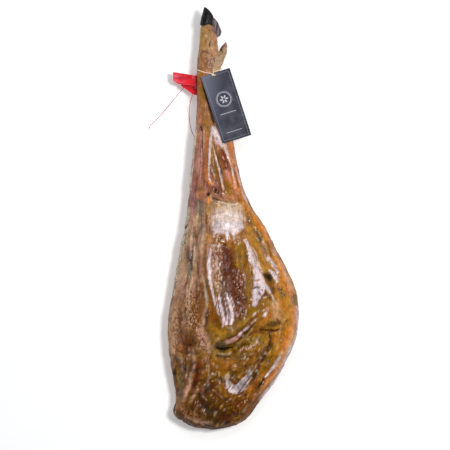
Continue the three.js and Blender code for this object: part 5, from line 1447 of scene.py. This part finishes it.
class Shader:
    """A material's node tree, with short calls for the nodes used here."""

    def __init__(self, name):
        self.material = bpy.data.materials.new(name)
        self.material.use_nodes = True
        self.tree = self.material.node_tree
        self.surface = self.tree.nodes["Principled BSDF"]

    def node(self, kind, inputs=(), **settings):
        node = self.tree.nodes.new(kind)
        for key, value in settings.items():
            setattr(node, key, value)
        for key, value in dict(inputs).items():
            self.put(node.inputs[key], value)
        return node

    def put(self, socket, value):
        if isinstance(value, bpy.types.NodeSocket):
            self.tree.links.new(value, socket)
        else:
            socket.default_value = value

    def set(self, **values):
        for key, value in values.items():
            self.put(self.surface.inputs[key.replace("_", " ")], value)

    def places(self, stretch=(1, 1, 1)):
        source = self.node("ShaderNodeTexCoord").outputs["Object"]
        return self.node("ShaderNodeMapping", {"Vector": source, "Scale": stretch}).outputs[0]

    def noise(self, scale, detail=3, stretch=(1, 1, 1), distortion=0.0):
        inputs = {"Vector": self.places(stretch), "Scale": scale, "Detail": detail, "Distortion": distortion}
        return self.node("ShaderNodeTexNoise", inputs).outputs["Fac"]

    def math(self, operation, a, b=0.0, clamp=False):
        inputs = {0: a, 1: b}
        return self.node("ShaderNodeMath", inputs, operation=operation, use_clamp=clamp).outputs[0]

    def grey(self, value):
        parts = {"Red": value, "Green": value, "Blue": value}
        return self.node("ShaderNodeCombineColor", parts).outputs[0]

    def uv(self):
        source = self.node("ShaderNodeUVMap", uv_map="UVMap").outputs[0]
        return self.node("ShaderNodeSeparateXYZ", {0: source}).outputs

    def span(self, value, low, high, to_low, to_high, smooth=False):
        inputs = {"Value": value, "From Min": low, "From Max": high, "To Min": to_low, "To Max": to_high}
        kind = "SMOOTHSTEP" if smooth else "LINEAR"
        return self.node("ShaderNodeMapRange", inputs, interpolation_type=kind).outputs[0]

    def mix(self, share, a, b, blend="MIX"):
        node = self.node("ShaderNodeMix", data_type="RGBA", blend_type=blend)
        self.put(node.inputs[0], share)
        self.put(node.inputs[6], a)
        self.put(node.inputs[7], b)
        return node.outputs[2]

    def attribute(self, name, output):
        return self.node("ShaderNodeAttribute", attribute_name=name).outputs[output]

    def bump(self, height, strength, distance, normal=None):
        inputs = {"Height": height, "Strength": strength, "Distance": distance}
        if normal is not None:
            inputs["Normal"] = normal
        return self.node("ShaderNodeBump", inputs).outputs[0]


def rgba(colour):
    return (*linear(colour), 1.0)


def cured_material():
    """Meat, fat and rind: the painted ground broken up by clouds, fibre and pores.

    Pale and dark flecks lie over it wherever a noise, stretched along the leg, added to their
    thickness passes a threshold.
    """
    s = Shader("cured_meat")
    grit = s.noise(520, 4)
    fibre = s.noise(360, 3, (1, 0.2, 0.5))
    light = s.span(s.noise(90, 4), 0.3, 0.7, 0.7, 1.28)
    light = s.math("MULTIPLY", light, s.span(grit, 0.3, 0.7, 0.74, 1.22))
    light = s.math("MULTIPLY", light, s.span(fibre, 0.3, 0.7, 0.86, 1.13))
    colour = s.mix(1.0, s.attribute("ground", "Color"), s.grey(light), "MULTIPLY")
    pore = s.span(s.noise(300, 4, (1, 0.5, 1)), 0.3, 0.4, 0.6, 0, True)
    colour = s.mix(pore, colour, rgba(PORE))
    masks = []
    for layer, scale, stretch in (("dark", 360, (1, 0.6, 1)), ("pale", 340, (1, 0.45, 1))):
        speck = s.span(s.noise(scale, 4, stretch, 0.4), 0.3, 0.7, -0.55, 0.55)
        thick = s.math("ADD", s.attribute(layer, "Alpha"), speck)
        mask = s.span(thick, 0.56, 0.68, 0, 1, True)
        colour = s.mix(mask, colour, s.attribute(layer, "Color"))
        masks.append(mask)
    wet = s.math("SUBTRACT", s.attribute("ground", "Alpha"), s.math("MULTIPLY", masks[0], 0.6), clamp=True)
    wet = s.math("MAXIMUM", wet, s.math("MULTIPLY", masks[1], 0.6))
    rough = s.math("ADD", s.span(wet, 0, 1, 0.62, 0.3), s.span(grit, 0.3, 0.7, -0.06, 0.1), clamp=True)
    relief = s.math("ADD", s.noise(200, 4, (1, 0.5, 1)), s.math("MULTIPLY", masks[1], 0.1))
    coarse = s.bump(relief, 0.5, 0.0012)
    close = s.bump(s.noise(430, 4, (1, 0.4, 1)), 0.45, 0.0008, coarse)
    s.set(Base_Color=colour, Roughness=rough, Normal=close)
    s.set(Coat_Weight=s.math("MAXIMUM", s.span(wet, 0.28, 0.8, 0, 0.55), s.math("MULTIPLY", masks[1], 0.4)))
    s.set(Specular_IOR_Level=0.12, Coat_Roughness=0.14, Coat_IOR=1.5, Coat_Normal=close)
    return s.material


def horn_material(name, dark, light, share):
    """Horn: two tones in streaks along the claw, the light one also painted as sheen on its sides, with fine
    rings and a dull sheen.
    """
    s = Shader(name)
    streak = s.span(s.noise(260, 4, (1, 0.2, 1)), 0.35, 0.68, 0, 1, True)
    # the painted sheen on the claw's sides, in the light tone
    worn = s.math("MULTIPLY", s.attribute("worn", "Fac"), 0.6)
    streak = s.math("MAXIMUM", s.math("MULTIPLY", streak, share), worn)
    colour = s.mix(streak, rgba(dark), rgba(light))
    scuff = s.span(s.noise(900, 3), 0.56, 0.7, 0, 0.4, True)
    colour = s.mix(scuff, colour, rgba(light))
    rings = s.noise(500, 3, (0.2, 1.4, 0.2))
    s.set(Base_Color=colour, Roughness=s.span(streak, 0, 1, 0.38, 0.62), Normal=s.bump(rings, 0.4, 0.0005))
    s.set(Specular_IOR_Level=0.16)
    return s.material


def card_material():
    """Coated card: slate with worn patches and a painted sheen toward one corner, and a pale printed frame,
    ring, rosette and rules, all plain shapes.
    """
    s = Shader("tag_card")
    uv = s.uv()
    across = s.math("MULTIPLY", s.math("SUBTRACT", uv[0], 0.5), CARD_SIZE[0])
    along = s.math("MULTIPLY", s.math("SUBTRACT", uv[1], 0.5), CARD_SIZE[1])

    def band(value, middle, half):
        """1 within half of the middle, with a soft edge."""
        off = s.math("ABSOLUTE", s.math("SUBTRACT", value, middle))
        return s.span(off, half - PRINT_EDGE, half + PRINT_EDGE, 1, 0)

    side = s.math("SUBTRACT", s.math("ABSOLUTE", across), CARD_SIZE[0] / 2)
    end = s.math("SUBTRACT", s.math("ABSOLUTE", along), CARD_SIZE[1] / 2)
    inset = s.math("MAXIMUM", side, end)
    frame_line = s.math("MULTIPLY", band(inset, *FRAME_LINE), 0.35)
    up = s.math("SUBTRACT", along, ROSETTE_ALONG)
    squares = s.math("ADD", s.math("MULTIPLY", across, across), s.math("MULTIPLY", up, up))
    radius = s.math("SQRT", squares)
    wave = s.math("COSINE", s.math("MULTIPLY", s.math("ARCTAN2", up, across), ROSETTE_TURNS))
    petal = s.math("MULTIPLY", s.math("ABSOLUTE", wave), ROSETTE_REACH)
    rosette = s.span(s.math("SUBTRACT", radius, petal), -0.3, 0.3, 1, 0)
    hollow = s.span(radius, *ROSETTE_HOLLOW, 0, 1)
    rosette = s.math("MULTIPLY", rosette, hollow)
    print_mask = s.math("MAXIMUM", frame_line, rosette)
    for size, half in PRINT_RINGS:
        print_mask = s.math("MAXIMUM", print_mask, band(radius, size, half))
    for place, half_length, half in PRINT_RULES:
        inside = s.span(s.math("ABSOLUTE", across), half_length, half_length + 0.2, 1, 0)
        rule = s.math("MULTIPLY", band(along, place, half), inside)
        print_mask = s.math("MAXIMUM", print_mask, rule)
    fibre = s.span(s.noise(900, 3), 0.3, 0.7, 0.85, 1.15)
    worn = s.span(s.noise(60, 3), 0.35, 0.65, 0, 0.35)
    # painted sheen, lighter toward the card's upper left corner
    sheen = s.span(s.math("SUBTRACT", uv[1], uv[0]), -0.1, 1.0, 0.0, 1.0, True)
    ground = s.mix(s.math("MAXIMUM", sheen, worn), rgba(SLATE), rgba(SLATE_WORN_AND_SHEEN))
    ground = s.mix(1.0, ground, s.grey(fibre), "MULTIPLY")
    ink = s.math("MULTIPLY", print_mask, s.span(s.noise(1500, 2), 0.3, 0.6, 0.7, 0.95))
    edge = s.span(inset, -0.5, -0.1, 0, 0.4)
    colour = s.mix(edge, s.mix(ink, ground, rgba(CARD_INK)), rgba(CARD_RIM))
    s.set(Base_Color=colour, Roughness=0.5, Specular_IOR_Level=0.12)
    s.set(Normal=s.bump(s.noise(1200, 3), 0.12, 0.0002))
    return s.material


def film_material():
    """Seal film: glossy red, with painted glare toward the free end of its upper leaf and painted highlights
    on the crumples there, painted highlights along its edges, and painted shade in its fold.
    """
    s = Shader("seal_film")
    uv = s.uv()
    # painted glare toward the free end of the upper leaf
    worn = s.span(uv[1], 0.0, 0.3, 0.5, 0.0, True)
    crease = s.span(s.noise(300, 3, (0.25, 1, 1)), 0.5, 0.66, 0, 0.9, True)
    fold = s.math("ABSOLUTE", s.math("SUBTRACT", uv[1], 0.52))
    colour = s.mix(worn, rgba(FILM["red"]), rgba(FILM["worn"]))
    streaks = s.span(s.noise(160, 4, (0.2, 1, 1)), 0.42, 0.62, 0, 0.6, True)
    colour = s.mix(streaks, colour, rgba(FILM["streak"]))
    # painted highlights on the crumples, within the painted glare
    colour = s.mix(s.math("MULTIPLY", crease, worn), colour, rgba(FILM["crease"]))
    # painted shade in the fold
    colour = s.mix(s.span(fold, 0.04, 0.24, 1, 0, True), colour, rgba(FILM["fold"]))
    # painted highlight along the band's edges
    rim = s.math("ABSOLUTE", s.math("SUBTRACT", uv[0], 0.5))
    colour = s.mix(s.span(rim, 0.44, 0.5, 0, 0.7, True), colour, rgba(FILM["rim"]))
    s.set(Base_Color=colour, Roughness=0.34, Specular_IOR_Level=0.16, Coat_Weight=0.06)
    s.set(Normal=s.bump(s.noise(260, 3), 0.3, 0.0006))
    return s.material


def thread_material(name, first, second, fuzz):
    """Twisted thread: one tone for each ply, with fine fibres."""
    s = Shader(name)
    ply = s.math("GREATER_THAN", s.attribute("ply", "Fac"), 0.5)
    colour = s.mix(ply, rgba(first), rgba(second))
    fibre = s.noise(fuzz, 3)
    shade = s.span(fibre, 0.3, 0.7, 0.78, 1.1)
    colour = s.mix(1.0, colour, s.grey(shade), "MULTIPLY")
    s.set(Base_Color=colour, Roughness=0.85, Normal=s.bump(fibre, 0.5, 0.0002))
    return s.material


def floor_material():
    """A plain white table, with a faint glow of its own for the light of the room."""
    s = Shader("white_table")
    light = s.span(s.noise(3, 2), 0.3, 0.7, 0.9, 0.94)
    s.set(Base_Color=s.grey(light), Roughness=0.75)
    s.set(Emission_Color=(0.95, 1, 1.04, 1), Emission_Strength=0.24)
    return s.material


def dress(piece, material, slot, *nodes):
    """Gives a piece its material, and puts it in place of its nodes. Its slot is not used."""
    piece.data.materials.clear()
    piece.data.materials.append(material)
    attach(piece, "root")
    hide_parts(*nodes)


def add_camera():
    data = bpy.data.cameras.new("eye")
    data.lens = LENS
    data.sensor_width = SENSOR
    data.clip_end = 20
    camera = bpy.data.objects.new("eye", data)
    camera.location = (EYE[0] * MM, EYE[1] * MM, EYE_HEIGHT * MM)
    bpy.context.scene.collection.objects.link(camera)
    bpy.context.scene.camera = camera


def add_light(name, place, size, share):
    """A rectangular light aimed at the ham that gives the table a share of the light it needs.

    Its power is share * pi^2 * distance^2 / (the table's reflectance * the cosine of its tilt).
    """
    ray = np.array(LAMP_AIM) - np.asarray(place)
    distance = float(np.linalg.norm(ray))
    data = bpy.data.lights.new(name, "AREA")
    data.shape = "RECTANGLE"
    data.size, data.size_y = size
    data.energy = share * math.pi**2 * distance**3 / (TABLE_REFLECTANCE * -ray[2])
    light = bpy.data.objects.new(name, data)
    light.location = place
    tilt = math.atan2(math.hypot(ray[0], ray[1]), -ray[2])
    light.rotation_euler = (tilt, 0, math.atan2(ray[0], -ray[1]) + math.pi)
    bpy.context.scene.collection.objects.link(light)


def add_studio():
    bpy.context.scene.view_settings.view_transform = "Standard"
    world = bpy.data.worlds.new("studio")
    world.use_nodes = True
    world.node_tree.nodes["Background"].inputs["Color"].default_value = (1, 1, 1, 1)
    world.node_tree.nodes["Background"].inputs["Strength"].default_value = SKY_LIGHT
    bpy.context.scene.world = world
    for name, lamp in LAMPS.items():
        add_light(name, *lamp)
    corners = np.array([(-1, -1, 0), (1, -1, 0), (1, 1, 0), (-1, 1, 0)]) * TABLE_REACH
    floor = new_mesh("table", corners, [np.array([[0, 1, 2, 3]])])
    floor.data.materials.append(floor_material())


add_camera()

red_thread = thread_material("red_string", *THREAD_TONES["red_string"])
for end_name, route in LOOSE_ENDS.items():
    route = spread(route, 0.8)
    string = twisted_tube(f"{end_name}_thread", route, STRING_RADIUS, 2, 3, sides=10)
    dress(string, red_thread, "red_string", end_name)

dress(build_ham(), cured_material(), "cured_meat", "ham")
horns = {name: horn_material(name, *tones) for name, tones in HORN_TONES.items()}
for order, (horn_name, rows) in enumerate(HORN.items()):
    horn = horns[{"claw_near": "black_horn", "claw_far": "grey_horn"}.get(horn_name, "pale_horn")]
    slot = "black_horn" if horn_name == "claw_near" else "grey_horn"
    dress(build_horn(horn_name, rows, HORN_SEED + order), horn, slot, horn_name)
dress(build_card(), card_material(), "tag_card", "tag")
dress(build_seal(), film_material(), "seal_film", "seal")
cotton = thread_material("twine_cotton", *THREAD_TONES["twine_cotton"])
dress(build_twine(), cotton, "twine_cotton", "twine")
dress(build_knot(), cotton, "twine_cotton", "twine")
dress(build_string_loop(), red_thread, "red_string", "string_loop")
add_studio()
